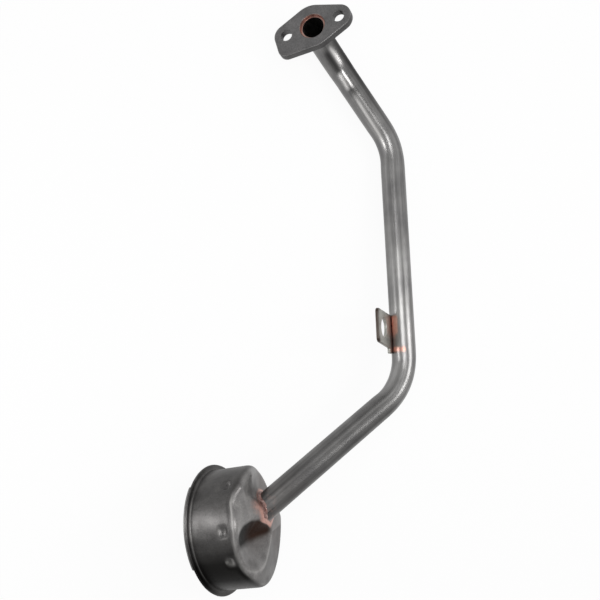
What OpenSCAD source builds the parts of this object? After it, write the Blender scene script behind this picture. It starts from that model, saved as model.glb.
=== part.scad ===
// Oil pickup tube: a bent steel tube with a two-bolt flange at one end and a
// stamped cup with a strainer at the other, joined by copper braze.
// The flange's gasket face has its centre at the origin. The part lies on three
// points: the cup's rim and both ends of the tube's second straight run.

/* [Tube] */
// Outside diameter of the tube
tube_od = 19.05; // [17:0.05:20]
// Wall thickness of the tube
tube_wall = 1.25; // [0.9:0.05:1.6]
// Centreline radius of each bend
bend_r = 44.45; // [42:0.05:48]
// Straight run from the gasket face to the first bend
run_1 = 10; // [9:0.5:16]
// Straight run between the first and the second bend
run_2 = 53; // [45:0.5:65]
// Straight run between the second and the third bend
run_3 = 151.5; // [145:0.5:180]
// Straight run from the third bend to the cup's end
run_4 = 114.8; // [106:0.1:126]
// Angle of the first bend
bend_1 = 55; // [50:0.5:60]
// Angle of the second bend
bend_2 = 38; // [33:0.5:43]
// Angle of the third bend
bend_3 = 56.5; // [50:0.5:62]
// Turn of the first bend's plane from the line of the bolts
roll_1 = 71; // [64:0.5:78]
// Turn of the second bend's plane from the first
roll_2 = 54.5; // [48:0.5:61]
// Turn of the third bend's plane from the second
roll_3 = 3; // [-4:0.5:10]
// Depth of the tube's end below the gasket face
tube_inset = 0.8; // [0.6:0.1:1]
// Length of tube inside the cup, along its axis from the cup's end
tube_stub = 25.2; // [24.6:0.1:27]

/* [Flange] */
// Thickness of the flange plate
flange_t = 6; // [5:0.5:7]
// Distance between the centres of the bolt holes
bolt_spacing = 41.3; // [40:0.1:44]
// Diameter of the bolt holes
bolt_d = 8.7; // [7:0.1:9]
// Radius of the outline round the tube
flange_mid_r = 17.4; // [16.5:0.1:18.5]
// Radius of the outline round each bolt hole
flange_end_r = 9.6; // [9:0.1:10.5]
// Radius of the ear's corner
ear_r = 6.6; // [5:0.1:8]
// Centre of the ear's corner, along and across the line of the bolts
ear_at = [-22.8, 10.3];
// Chamfer of the tube hole at the gasket face
hole_chamfer = 1.2; // [1.1:0.1:1.6]

/* [Bracket] */
// Sheet thickness of the bracket
tab_t = 2.2; // [1.6:0.1:2.6]
// Reach of the bracket from the tube's surface
tab_reach = 37.5; // [34:0.5:41]
// Width of the bracket along the tube
tab_w = 25.5; // [23:0.5:28]
// Shift of the bracket's outer edge along the tube, towards the flange
tab_rake = 4; // [0:0.5:6]
// Cut across the bracket's outer corners
tab_corner = 2; // [1:0.5:4]
// Diameter of the stud hole
stud_d = 14.5; // [12:0.5:16]
// Distance of the stud hole's centre from the tube's surface
stud_at = 23; // [21:0.5:25]
// Length of the foot below the bracket, along the tube
foot_len = 4; // [2:0.5:5]
// Width of the foot from the tube's surface
foot_w = 10; // [8:0.5:12]
// Distance of the bracket's middle before the third bend
tab_back = 17.9; // [17.5:0.1:40]
// Distance of the bracket's mid-plane from the tube's axis
tab_offset = 7.9; // [7:0.1:8.2]
// Direction of the bracket round the tube
tab_clock = -40; // [-45:0.5:-35]

/* [Cup] */
// Sheet thickness of the cup
cup_t = 1.5; // [1.2:0.1:1.8]
// Outside radius of the cup's wall
cup_r = 41.5; // [40.5:0.1:42.5]
// Outside radius of the turned-out rim
rim_r = 45.1; // [44.6:0.1:46.5]
// Inside radius of the bend from rim to wall
rim_fillet = 1.6; // [1.2:0.1:2]
// Height of the end's flat part above the rim's seat
cup_h = 38; // [37.5:0.1:39]
// Radius of the shoulder between wall and end
shoulder_r = 6; // [4:0.5:7]
// Slope of the end's side facet
face_slope = 12.3; // [11:0.1:13]
// Direction of the side facet, square to its fall
face_turn = 38; // [28:1:48]
// Height at which the side facet's plane meets the cup's axis
face_h = 40.75; // [40.5:0.05:41.5]
// Slope of the facet that the tube goes in at
inlet_slope = 25.4; // [24:0.1:26]
// Direction of the tube's facet, square to its fall
inlet_turn = -44; // [-48:1:-40]
// Height at which the plane of the tube's facet meets the cup's axis
inlet_h = 46.2; // [45.8:0.05:47]
// Slope of the facet that holds the dish
back_slope = 14; // [13:0.1:15]
// Direction of the dish's facet, square to its fall
back_turn = -135; // [-140:1:-130]
// Height at which the plane of the dish's facet meets the cup's axis
back_h = 38; // [37.5:0.1:38.5]
// Point of the end where the tube's axis goes in
spout_at = [16.2, 13];
// Direction of the tube over the cup's end
spout_clock = 32.5; // [28:0.5:37]
// Angle between the tube and the cup's axis
cup_lean = 53; // [50:0.5:56]
// Turn of the cup round the tube's axis
cup_roll = -109; // [-116:0.5:-102]
// Depth of the dish in the end
dish_depth = 6; // [5:0.5:6.5]
// Radius of the dish where it meets its facet
dish_rim_r = 17; // [15:0.5:17.5]
// Centre of the dish in its facet
dish_at = [15, 3.5];
// Directions of the staked dimples in the wall
stake_at = [126.7, 172.5, 202.2];
// Width of each dimple round the wall
stake_w = 7.5; // [6:0.5:9]
// Height of each dimple
stake_h = 5.5; // [4.5:0.5:6]
// Depth of each dimple
stake_depth = 1.2; // [0.8:0.1:1.4]
// Height of the dimples' lower edge above the rim's seat
stake_z = 23.5; // [22:0.5:24]

/* [Strainer] */
// Sheet thickness of the strainer's frame
frame_t = 1.4; // [1:0.1:1.6]
// Inside radius of the frame's lip
lip_r = 34; // [32:0.5:36]
// Angle that each lug of the frame spans
lug_span = 80; // [60:1:90]
// Turn of the lugs round the cup
lug_turn = 165; // [155:1:175]
// Spacing of the wires of the cloth
wire_pitch = 5; // [4:0.5:6]
// Width of each wire of the cloth
wire_d = 1.2; // [0.8:0.1:1.6]

/* [Braze] */
// Gap that the braze fills between tube and hole
braze_gap = 0.15; // [0.1:0.05:0.2]
// Width of the braze round the tube
braze_w = 1.8; // [1.4:0.1:2.2]
// Height of the braze on the cup and the bracket
braze_h = 1.2; // [0.8:0.1:1.4]

/* [Lying pose] */
// First turn of the part, about its bolt line
lie_x = 154.84; // [154:0.01:156]
// Second turn of the part
lie_y = -35.49; // [-36:0.01:-34]
// Third turn of the part, about the upright
lie_z = 18.91; // [15:0.01:25]

/* [Hidden] */
$fn = 96;
tube_r = tube_od / 2;
// Run of a cut past the faces that it goes through
past = 1;
// Lap of the straight runs into the bends, and the bends' extra wall on each side
bend_lap = 0.1;
bend_swell = 0.06;
// Stand of the outline's round corners over the lines between them
corner_lap = 0.02;
hole_r = tube_r + braze_gap;
bolt_x = bolt_spacing / 2;
spout_point = [spout_at.x, spout_at.y, cup_h];
// Fit of the frame's skirt in the cup
skirt_fit = 0.3;
skirt_r = cup_r - cup_t - skirt_fit;
skirt_h = stake_z - cup_t - skirt_fit;
// Fit of the wire cloth in the frame
cloth_fit = 0.1;
cloth_r = skirt_r - frame_t - cloth_fit;
dish_r = (dish_rim_r * dish_rim_r + dish_depth * dish_depth) / (2 * dish_depth);
tab_side = tab_offset + tab_t / 2;
tab_root = sqrt(max(1, hole_r * hole_r - tab_side * tab_side));
tab_foot = asin(min(1, tab_offset / hole_r));
steel = [0.62, 0.62, 0.63];
dark_steel = [0.36, 0.36, 0.37];
copper = [0.72, 0.42, 0.32];

// Placing along the tube, from the gasket face on

// Turns the part into the pose in which it lies.
module lying() rotate([lie_x, lie_y, lie_z]) children();

// Goes on from the end of a bend.
module past_bend(roll, angle)
    rotate([0, 0, roll]) translate([bend_r, 0, 0]) rotate([0, angle, 0])
        translate([-bend_r, 0, 0]) children();

module at_run_2() translate([0, 0, run_1]) past_bend(roll_1, bend_1) children();
module at_run_3() at_run_2() translate([0, 0, run_2]) past_bend(roll_2, bend_2) children();
module at_run_4() at_run_3() translate([0, 0, run_3]) past_bend(roll_3, bend_3) children();
module at_spout() at_run_4() translate([0, 0, run_4]) children();

// The cup's own frame: rim seat in the plane Z = 0, mouth down.
module at_cup()
    at_spout() rotate([0, 0, cup_roll]) rotate([0, 180 - cup_lean, 0])
        rotate([0, 0, -spout_clock]) translate(-spout_point) children();

// The tube's axis as seen from the cup, leaving along +Z.
module on_spout()
    translate(spout_point) rotate([0, 0, spout_clock]) rotate([0, cup_lean, 0]) children();

// Tube

module tube_ring(swell = 0) difference() {
    circle(r = tube_r + swell);
    circle(r = tube_r - tube_wall - swell);
}

// A straight run, lapped into the bends at its ends.
module straight(length, lap_in = bend_lap, lap_out = bend_lap)
    translate([0, 0, -lap_in]) linear_extrude(length + lap_in + lap_out) tube_ring();

module bend(roll, angle)
    rotate([0, 0, roll]) translate([bend_r, 0, 0]) rotate([90, 0, 180])
        rotate_extrude(angle = angle) translate([bend_r, 0]) tube_ring(bend_swell);

module suction_tube() color(steel) lying() union() {
    translate([0, 0, tube_inset]) straight(run_1 - tube_inset, lap_in = 0);
    translate([0, 0, run_1]) bend(roll_1, bend_1);
    at_run_2() {
        straight(run_2);
        translate([0, 0, run_2]) bend(roll_2, bend_2);
    }
    at_run_3() {
        straight(run_3);
        translate([0, 0, run_3]) bend(roll_3, bend_3);
    }
    at_run_4() straight(run_4 + tube_stub, lap_out = 0);
}

// Flange

// Touching points of the outer tangent of two circles, on the left of a to b.
function tangent(a, ra, b, rb) =
    let (d = norm(b - a), u = (b - a) / d, c = (ra - rb) / d, s = sqrt(1 - c * c),
         m = [u.x * c - u.y * s, u.y * c + u.x * s])
    [a + ra * m, b + rb * m];

// The plate: straight edges between round corners of three sizes.
module flange_plate() {
    mid = [0, 0];
    left = [-bolt_x, 0];
    right = [bolt_x, 0];
    linear_extrude(flange_t) polygon(concat(
        tangent(right, flange_end_r, mid, flange_mid_r),
        tangent(mid, flange_mid_r, left, flange_end_r),
        tangent(left, flange_end_r, ear_at, ear_r),
        tangent(ear_at, ear_r, mid, flange_mid_r),
        tangent(mid, flange_mid_r, right, flange_end_r)));
    for (c = [[mid, flange_mid_r], [left, flange_end_r], [right, flange_end_r], [ear_at, ear_r]])
        translate(c[0]) cylinder(r = c[1] + corner_lap, h = flange_t);
}

module mounting_flange() color(dark_steel) lying() difference() {
    flange_plate();
    translate([0, 0, -past]) cylinder(r = hole_r, h = flange_t + 2 * past);
    translate([0, 0, -past])
        cylinder(r1 = hole_r + hole_chamfer + past, r2 = hole_r, h = hole_chamfer + past);
    for (x = [-bolt_x, bolt_x])
        translate([x, 0, -past]) cylinder(d = bolt_d, h = flange_t + 2 * past);
}

module flange_braze() color(copper) lying() rotate_extrude() polygon([
    [tube_r, tube_inset],
    [hole_r + hole_chamfer - tube_inset, tube_inset],
    [hole_r, hole_chamfer],
    [hole_r, flange_t],
    [tube_r + braze_w, flange_t],
    [tube_r, flange_t + braze_w]]);

// Bracket

// The bracket's own frame: X away from the tube, Z along the tube.
module at_tab() at_run_3() translate([0, 0, run_3 - tab_back]) rotate([0, 0, tab_clock]) children();

module tab_outline() {
    half = tab_w / 2;
    root = tab_root - 2 * past;
    tip = tab_root + tab_reach;
    polygon([
        [root, -half],
        [tab_root, -half],
        [tip - tab_corner, -half - tab_rake],
        [tip, -half - tab_rake + tab_corner],
        [tip, half - tab_rake - tab_corner],
        [tip - tab_corner, half - tab_rake],
        [tab_root + foot_w, half],
        [tab_root + foot_w, half + foot_len],
        [root, half + foot_len]]);
}

// The bracket before it is fitted to the tube.
module tab_blank() translate([0, tab_offset + tab_t / 2, 0]) rotate([90, 0, 0])
    linear_extrude(tab_t) difference() {
        tab_outline();
        translate([tab_root + stud_at, -tab_rake * stud_at / tab_reach]) circle(d = stud_d);
    }

module support_bracket() color(steel) lying() at_tab() difference() {
    tab_blank();
    translate([0, 0, -tab_w]) cylinder(r = hole_r, h = 2 * tab_w);
}

module bracket_braze() color(copper) lying() at_tab() difference() {
    intersection() {
        translate([0, 0, -tab_w / 2]) cylinder(r = hole_r + braze_h, h = tab_w + foot_len - 0.5);
        rotate([0, 0, tab_foot]) translate([hole_r, 0, -tab_w])
            cylinder(r = tab_t + braze_w, h = 2 * tab_w);
    }
    translate([0, 0, -tab_w]) cylinder(r = tube_r, h = 2 * tab_w);
    difference() {
        translate([0, tab_offset - tab_t / 2, -tab_w]) cube([2 * tube_r, tab_t, 2 * tab_w]);
        translate([0, 0, -tab_w - past]) cylinder(r = hole_r, h = 2 * (tab_w + past));
    }
}

// Cup

// Half section of the cup's blank. grow = 0 is the outer skin, and grow = -cup_t
// is the inner skin.
module cup_section(grow) {
    r = cup_r + grow;
    h = cup_h + grow;
    s = shoulder_r + grow;
    difference() {
        square([r, h]);
        translate([r - s, h - s]) difference() {
            square(s + past);
            circle(r = s);
        }
    }
}

// Section of the turned-out rim, from the wall to the rim's edge.
module rim_section() {
    bend_at = [cup_r + rim_fillet, cup_t + rim_fillet];
    difference() {
        translate([cup_r - cup_t, 0]) square([rim_r - cup_r + cup_t, cup_t + rim_fillet]);
        translate(bend_at) circle(r = rim_fillet);
        translate([bend_at.x, cup_t]) square([rim_r, rim_fillet + past]);
        difference() {
            translate([cup_r - cup_t - past, -past])
                square([rim_fillet + cup_t + past, bend_at.y + past]);
            translate(bend_at) circle(r = rim_fillet + cup_t);
        }
    }
}

// The space over one facet of the end, for a body shifted outwards by grow.
module over_facet(h, slope, clock, grow)
    at_facet(h, slope, clock) translate([0, 0, grow]) cylinder(r = 3 * cup_r, h = 3 * cup_r);

module at_facet(h, slope, clock) translate([0, 0, h]) rotate([-slope, 0, clock]) children();

// The cup's body, shifted outwards by grow on every face: the facets cut the end,
// the dish goes into it, and the dimples go into the wall.
module cup_body(grow) difference() {
    rotate_extrude() cup_section(grow);
    over_facet(face_h, face_slope, face_turn, grow);
    over_facet(inlet_h, inlet_slope, inlet_turn, grow);
    over_facet(back_h, back_slope, back_turn, grow);
    at_facet(back_h, back_slope, back_turn)
        translate([dish_at.x, dish_at.y, dish_r - dish_depth]) sphere(r = dish_r - grow);
    for (clock = stake_at)
        rotate([0, 0, clock])
            translate([cup_r - stake_depth + grow, -stake_w / 2 + grow, stake_z + grow])
                cube([2 * cup_t + stake_depth, stake_w - 2 * grow, stake_h - 2 * grow]);
}

module pickup_cup() color(dark_steel) lying() at_cup() difference() {
    union() {
        difference() {
            cup_body(0);
            cup_body(-cup_t);
            translate([0, 0, -past]) cylinder(r = cup_r + past, h = cup_t + rim_fillet + past);
        }
        rotate_extrude() rim_section();
    }
    on_spout() translate([0, 0, -2 * cup_r]) cylinder(r = hole_r, h = 4 * cup_r);
}

module cup_braze() color(copper) lying() at_cup() difference() {
    intersection() {
        cup_body(braze_h);
        on_spout() translate([0, 0, -cup_r]) cylinder(r = tube_r + braze_w, h = 2 * cup_r);
    }
    difference() {
        cup_body(0);
        on_spout() translate([0, 0, -2 * cup_r]) cylinder(r = hole_r, h = 4 * cup_r);
    }
    cup_body(-cup_t);
    on_spout() translate([0, 0, -2 * cup_r]) cylinder(r = tube_r, h = 4 * cup_r);
}

// Strainer

module screen_frame() color(steel) lying() at_cup() union() {
    rotate_extrude() polygon([
        [lip_r, -frame_t],
        [skirt_r, -frame_t],
        [skirt_r, skirt_h],
        [skirt_r - frame_t, skirt_h],
        [skirt_r - frame_t, 0],
        [lip_r, 0]]);
    for (i = [0 : 2])
        rotate([0, 0, lug_turn + i * 120 - lug_span / 2]) rotate_extrude(angle = lug_span)
            translate([skirt_r - frame_t, -frame_t]) square([rim_r - skirt_r + frame_t, frame_t]);
}

module strainer_screen() color(steel) lying() at_cup() linear_extrude(wire_d) difference() {
    circle(r = cloth_r);
    intersection() {
        circle(r = lip_r - wire_d);
        for (x = [-lip_r : wire_pitch : lip_r], y = [-lip_r : wire_pitch : lip_r])
            translate([x, y]) square(wire_pitch - wire_d);
    }
}

mounting_flange();
suction_tube();
support_bracket();
pickup_cup();
screen_frame();
strainer_screen();
flange_braze();
bracket_braze();
cup_braze();
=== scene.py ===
"""Visual model of an oil pickup tube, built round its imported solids.

The tube, flange, bracket, cup, strainer and braze are modelled as finished
pieces in the row's frame and stand for the solids of the same names. Sizes are
in millimetres and are turned to metres when a mesh is made.
"""
from __future__ import annotations

import itertools
import logging
import math
from dataclasses import dataclass
from enum import Enum
from typing import Callable, Sequence

import bmesh
import bpy
import numpy as np
from mathutils import Matrix, Vector
from mathutils.geometry import delaunay_2d_cdt


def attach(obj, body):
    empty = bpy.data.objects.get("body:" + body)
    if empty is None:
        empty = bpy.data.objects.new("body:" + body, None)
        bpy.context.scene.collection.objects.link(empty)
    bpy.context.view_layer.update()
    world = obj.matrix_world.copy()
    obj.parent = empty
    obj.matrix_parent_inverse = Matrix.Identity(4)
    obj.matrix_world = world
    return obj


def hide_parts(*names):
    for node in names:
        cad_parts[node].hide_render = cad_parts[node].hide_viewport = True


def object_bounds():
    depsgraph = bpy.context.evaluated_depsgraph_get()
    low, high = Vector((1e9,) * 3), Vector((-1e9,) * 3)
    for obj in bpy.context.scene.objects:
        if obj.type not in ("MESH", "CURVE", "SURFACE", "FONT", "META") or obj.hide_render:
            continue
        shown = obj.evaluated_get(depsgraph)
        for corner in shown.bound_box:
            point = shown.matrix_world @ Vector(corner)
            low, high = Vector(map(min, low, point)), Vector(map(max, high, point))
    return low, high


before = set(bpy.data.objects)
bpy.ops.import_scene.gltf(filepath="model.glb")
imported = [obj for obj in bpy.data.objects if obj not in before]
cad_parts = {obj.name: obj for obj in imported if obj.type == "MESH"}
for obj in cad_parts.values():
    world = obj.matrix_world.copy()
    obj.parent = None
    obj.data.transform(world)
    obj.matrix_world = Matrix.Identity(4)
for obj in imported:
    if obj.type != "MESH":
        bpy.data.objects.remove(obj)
CAD_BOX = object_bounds()

LOG = logging.getLogger("oil_pickup_tube")
MM = 0.001
BODY = "root"
NOISE_SPAN = (0.3, 0.7)  # Most values of a noise lie in it
STREWN_CLEAR = 0.45  # Share of the pitch that strewn points keep from an edge
WELD = 1e-7
TINY = 1e-9
WHITE = (1.0, 1.0, 1.0, 1.0)

Face = tuple[int, ...]
Colour = tuple[float, float, float, float]
Span = tuple[float, float]
Place = tuple[float, float, float]
Row = tuple[float, ...]
Tree = bpy.types.NodeTree
Socket = bpy.types.NodeSocket
Material = bpy.types.Material
Piece = bpy.types.Object


class Slot(Enum):
    """Material slots of the record."""

    FLANGE = "flange_steel"
    TUBE = "tube_steel"
    BRACKET = "bracket_steel"
    CUP = "cup_steel"
    FRAME = "frame_steel"
    WIRE = "wire_steel"
    BRAZE = "copper_braze"


# Small tools


def linear(code: str) -> Colour:
    """Turn an sRGB hex colour to linear light.

    Args:
        code: Six hex digits after a hash sign.

    Returns:
        Linear red, green, blue and an alpha of one.
    """
    parts = [int(code[i:i + 2], 16) / 255 for i in (1, 3, 5)]
    return (*(p / 12.92 if p <= 0.04045 else ((p + 0.055) / 1.055) ** 2.4 for p in parts), 1.0)


def add(tree: Tree, kind: str, inputs: dict | None = None, **settings) -> bpy.types.Node:
    """Add a node, set it up and link its inputs.

    Args:
        tree: Tree that takes the node.
        kind: Blender's name of the node type.
        inputs: Socket name or number to a value, or to a socket to link from.
        **settings: Properties of the node.

    Returns:
        The new node.
    """
    node = tree.nodes.new(kind)
    for key, value in settings.items():
        setattr(node, key, value)
    for key, value in (inputs or {}).items():
        if isinstance(value, bpy.types.NodeSocket):
            tree.links.new(value, node.inputs[key])
        else:
            node.inputs[key].default_value = value
    return node


def calc(tree: Tree, operation: str, *values: Socket | float, clamp: bool = False) -> Socket:
    """Add a calculation and give its result."""
    inputs = dict(enumerate(values))
    return add(tree, "ShaderNodeMath", inputs, operation=operation, use_clamp=clamp).outputs[0]


def mapped(tree: Tree, value: Socket, source: Span, target: Span = (0.0, 1.0)) -> Socket:
    """Map a value from one span to another and hold it at the ends."""
    ends = zip(("From Min", "From Max", "To Min", "To Max"), (*source, *target))
    return add(tree, "ShaderNodeMapRange", {"Value": value, **dict(ends)}).outputs["Result"]


def blend(tree: Tree, share: Socket | float, under: Socket | Colour, over: Socket | Colour,
          mode: str = "MIX") -> Socket:
    """Lay one colour over another by a share."""
    inputs = {0: share, 6: under, 7: over}
    return add(tree, "ShaderNodeMix", inputs, data_type="RGBA", blend_type=mode).outputs[2]


def noise(tree: Tree, place: Socket, scale_and_shade: float, detail: float, rough: float) -> Socket:
    """Add a noise and give its value."""
    inputs = {"Vector": place, "Scale": scale_and_shade, "Detail": detail, "Roughness": rough}
    return add(tree, "ShaderNodeTexNoise", inputs).outputs["Fac"]


def reading(tree: Tree, name: str, output: str = "Fac") -> Socket:
    """Read what a piece stores at its points."""
    return add(tree, "ShaderNodeAttribute", attribute_name=name).outputs[output]


def empty_tree(owner: Material | bpy.types.World) -> Tree:
    """Give a material or a world an empty node tree."""
    owner.use_nodes = True
    owner.node_tree.nodes.clear()
    return owner.node_tree


@dataclass(frozen=True)
class Ramp:
    """A smooth step between two values, and its height."""

    low: float
    high: float
    share: float = 1.0

    def step(self, value: np.ndarray) -> np.ndarray:
        """Rise smoothly from 0 at low to 1 at high."""
        t = np.clip((np.asarray(value, float) - self.low) / (self.high - self.low), 0.0, 1.0)
        return t * t * (3 - 2 * t)

    def up(self, value: np.ndarray) -> np.ndarray:
        """Rise from 0 at low to the share at high."""
        return self.share * self.step(value)

    def down(self, value: np.ndarray) -> np.ndarray:
        """Fall from the share at low to 0 at high."""
        return self.share * (1 - self.step(value))


@dataclass(frozen=True)
class Bell:
    """A bell curve: its middle, its width and its height."""

    middle: float
    width: float
    share: float = 1.0

    def at(self, value: np.ndarray) -> np.ndarray:
        """Give the curve's height."""
        return self.share * np.exp(-((value - self.middle) / self.width) ** 2)


def off_clock(angle: np.ndarray, clock: float) -> np.ndarray:
    """Give the degrees by which angles in radians lie off a clock angle."""
    return (np.degrees(angle) - clock + 180) % 360 - 180


def circle(count: int) -> np.ndarray:
    """Give even angles round a circle."""
    return np.linspace(0, 2 * np.pi, count, endpoint=False)


def polar(angle: np.ndarray, radius: np.ndarray | float, height: np.ndarray | float) -> np.ndarray:
    """Give points from angles, radii and heights."""
    x, y = radius * np.cos(angle), radius * np.sin(angle)
    return np.stack(np.broadcast_arrays(x, y, height), axis=1)


def bezier(start: np.ndarray, knee: np.ndarray, stop: np.ndarray, count: int) -> list[np.ndarray]:
    """Give points on a curve from start to stop that is drawn to its knee."""
    steps = np.linspace(0, 1, count)
    return [(1 - t) ** 2 * start + 2 * t * (1 - t) * knee + t * t * stop for t in steps]


def raised(flat: np.ndarray, z: float) -> np.ndarray:
    """Lift flat points to a height."""
    return np.column_stack([flat, np.full(len(flat), z)])


def hole_rows(centre: Span, radius: float, rows: Sequence[Span], count: int) -> list[np.ndarray]:
    """Lay out the wall of a plate's hole.

    Args:
        centre: Middle of the hole.
        radius: Radius of the hole.
        rows: How much wider the hole is, and at which height.
        count: Points in each row.

    Returns:
        Rows of points from the first face to the second.
    """
    return [polar(circle(count), radius + wide, z) + (*centre, 0.0) for wide, z in rows]


def shift(x: float, y: float, z: float) -> np.ndarray:
    """Give a 4x4 shift."""
    m = np.eye(4)
    m[:3, 3] = x, y, z
    return m


def turn(axis: str, degrees: float) -> np.ndarray:
    """Give a 4x4 turn about X, Y or Z."""
    return np.array(Matrix.Rotation(math.radians(degrees), 4, axis))


def moved(m: np.ndarray, points: np.ndarray) -> np.ndarray:
    """Apply a 4x4 matrix to an array of points."""
    return points @ m[:3, :3].T + m[:3, 3]


def grid_faces(rows: int, cols: int, wrap_rows: bool = False) -> list[Face]:
    """List the quads of a grid whose columns wrap round.

    Args:
        rows: Number of rows.
        cols: Number of points in each row.
        wrap_rows: Whether the last row joins the first.

    Returns:
        Corner numbers of each quad.
    """
    faces = []
    for i in range(rows if wrap_rows else rows - 1):
        a, b = i * cols, (i + 1) % rows * cols
        for j in range(cols):
            k = (j + 1) % cols
            faces.append((a + j, a + k, b + k, b + j))
    return faces


def make_piece(name: str, points: np.ndarray, faces: Sequence[Face], material: Material,
               sharp: float = 40.0) -> Piece:
    """Make a closed mesh object at the origin, with its faces turned outwards.

    Args:
        name: Name of the piece.
        points: Points in millimetres, in the row's frame.
        faces: Corner numbers of each face.
        material: Finish of the piece.
        sharp: Angle in degrees past which an edge stays sharp.

    Returns:
        The new object, linked to the scene.
    """
    mesh = bpy.data.meshes.new(name)
    mesh.from_pydata((np.asarray(points) * MM).tolist(), [], [tuple(f) for f in faces])
    bm = bmesh.new()
    bm.from_mesh(mesh)
    bmesh.ops.recalc_face_normals(bm, faces=bm.faces)
    bm.to_mesh(mesh)
    bm.free()
    return link_piece(name, mesh, material, sharp)


def link_piece(name: str, mesh: bpy.types.Mesh, material: Material,
               sharp: float = 40.0) -> Piece:
    """Shade a mesh, give it its finish and link it to the scene.

    Args:
        name: Name of the piece.
        mesh: Mesh in metres, in the row's frame.
        material: Finish of the piece.
        sharp: Angle in degrees past which an edge stays sharp.

    Returns:
        The new object.
    """
    mesh.materials.clear()
    mesh.materials.append(material)
    mesh.polygons.foreach_set("use_smooth", [True] * len(mesh.polygons))
    mesh.set_sharp_from_angle(angle=math.radians(sharp))
    piece = bpy.data.objects.new(name, mesh)
    bpy.context.scene.collection.objects.link(piece)
    LOG.info("%s: %d faces", name, len(mesh.polygons))
    return piece


def store(piece: Piece, name: str, values: np.ndarray) -> None:
    """Store a number or a vector at each point of a piece.

    Args:
        piece: Mesh object.
        name: Name of the attribute.
        values: One number or one vector for each point.
    """
    values = np.asarray(values, dtype=np.float32)
    vector = values.ndim == 2
    layer = piece.data.attributes.new(name, "FLOAT_VECTOR" if vector else "FLOAT", "POINT")
    layer.data.foreach_set("vector" if vector else "value", values.ravel())


def points_of(piece: Piece) -> np.ndarray:
    """Read a piece's points, in millimetres."""
    out = np.empty(len(piece.data.vertices) * 3, dtype=np.float32)
    piece.data.vertices.foreach_get("co", out)
    return out.reshape(-1, 3).astype(float) / MM


def baked(source: Piece) -> bpy.types.Mesh:
    """Give an object's mesh with its modifiers applied."""
    graph = bpy.context.evaluated_depsgraph_get()
    return bpy.data.meshes.new_from_object(source.evaluated_get(graph))


def declare(piece: Piece, slot: Slot, *nodes: str) -> Piece:
    """Tie a piece to the body and hide the solids that it stands for."""
    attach(piece, BODY)
    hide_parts(*nodes)
    return piece


# Finishes


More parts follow.
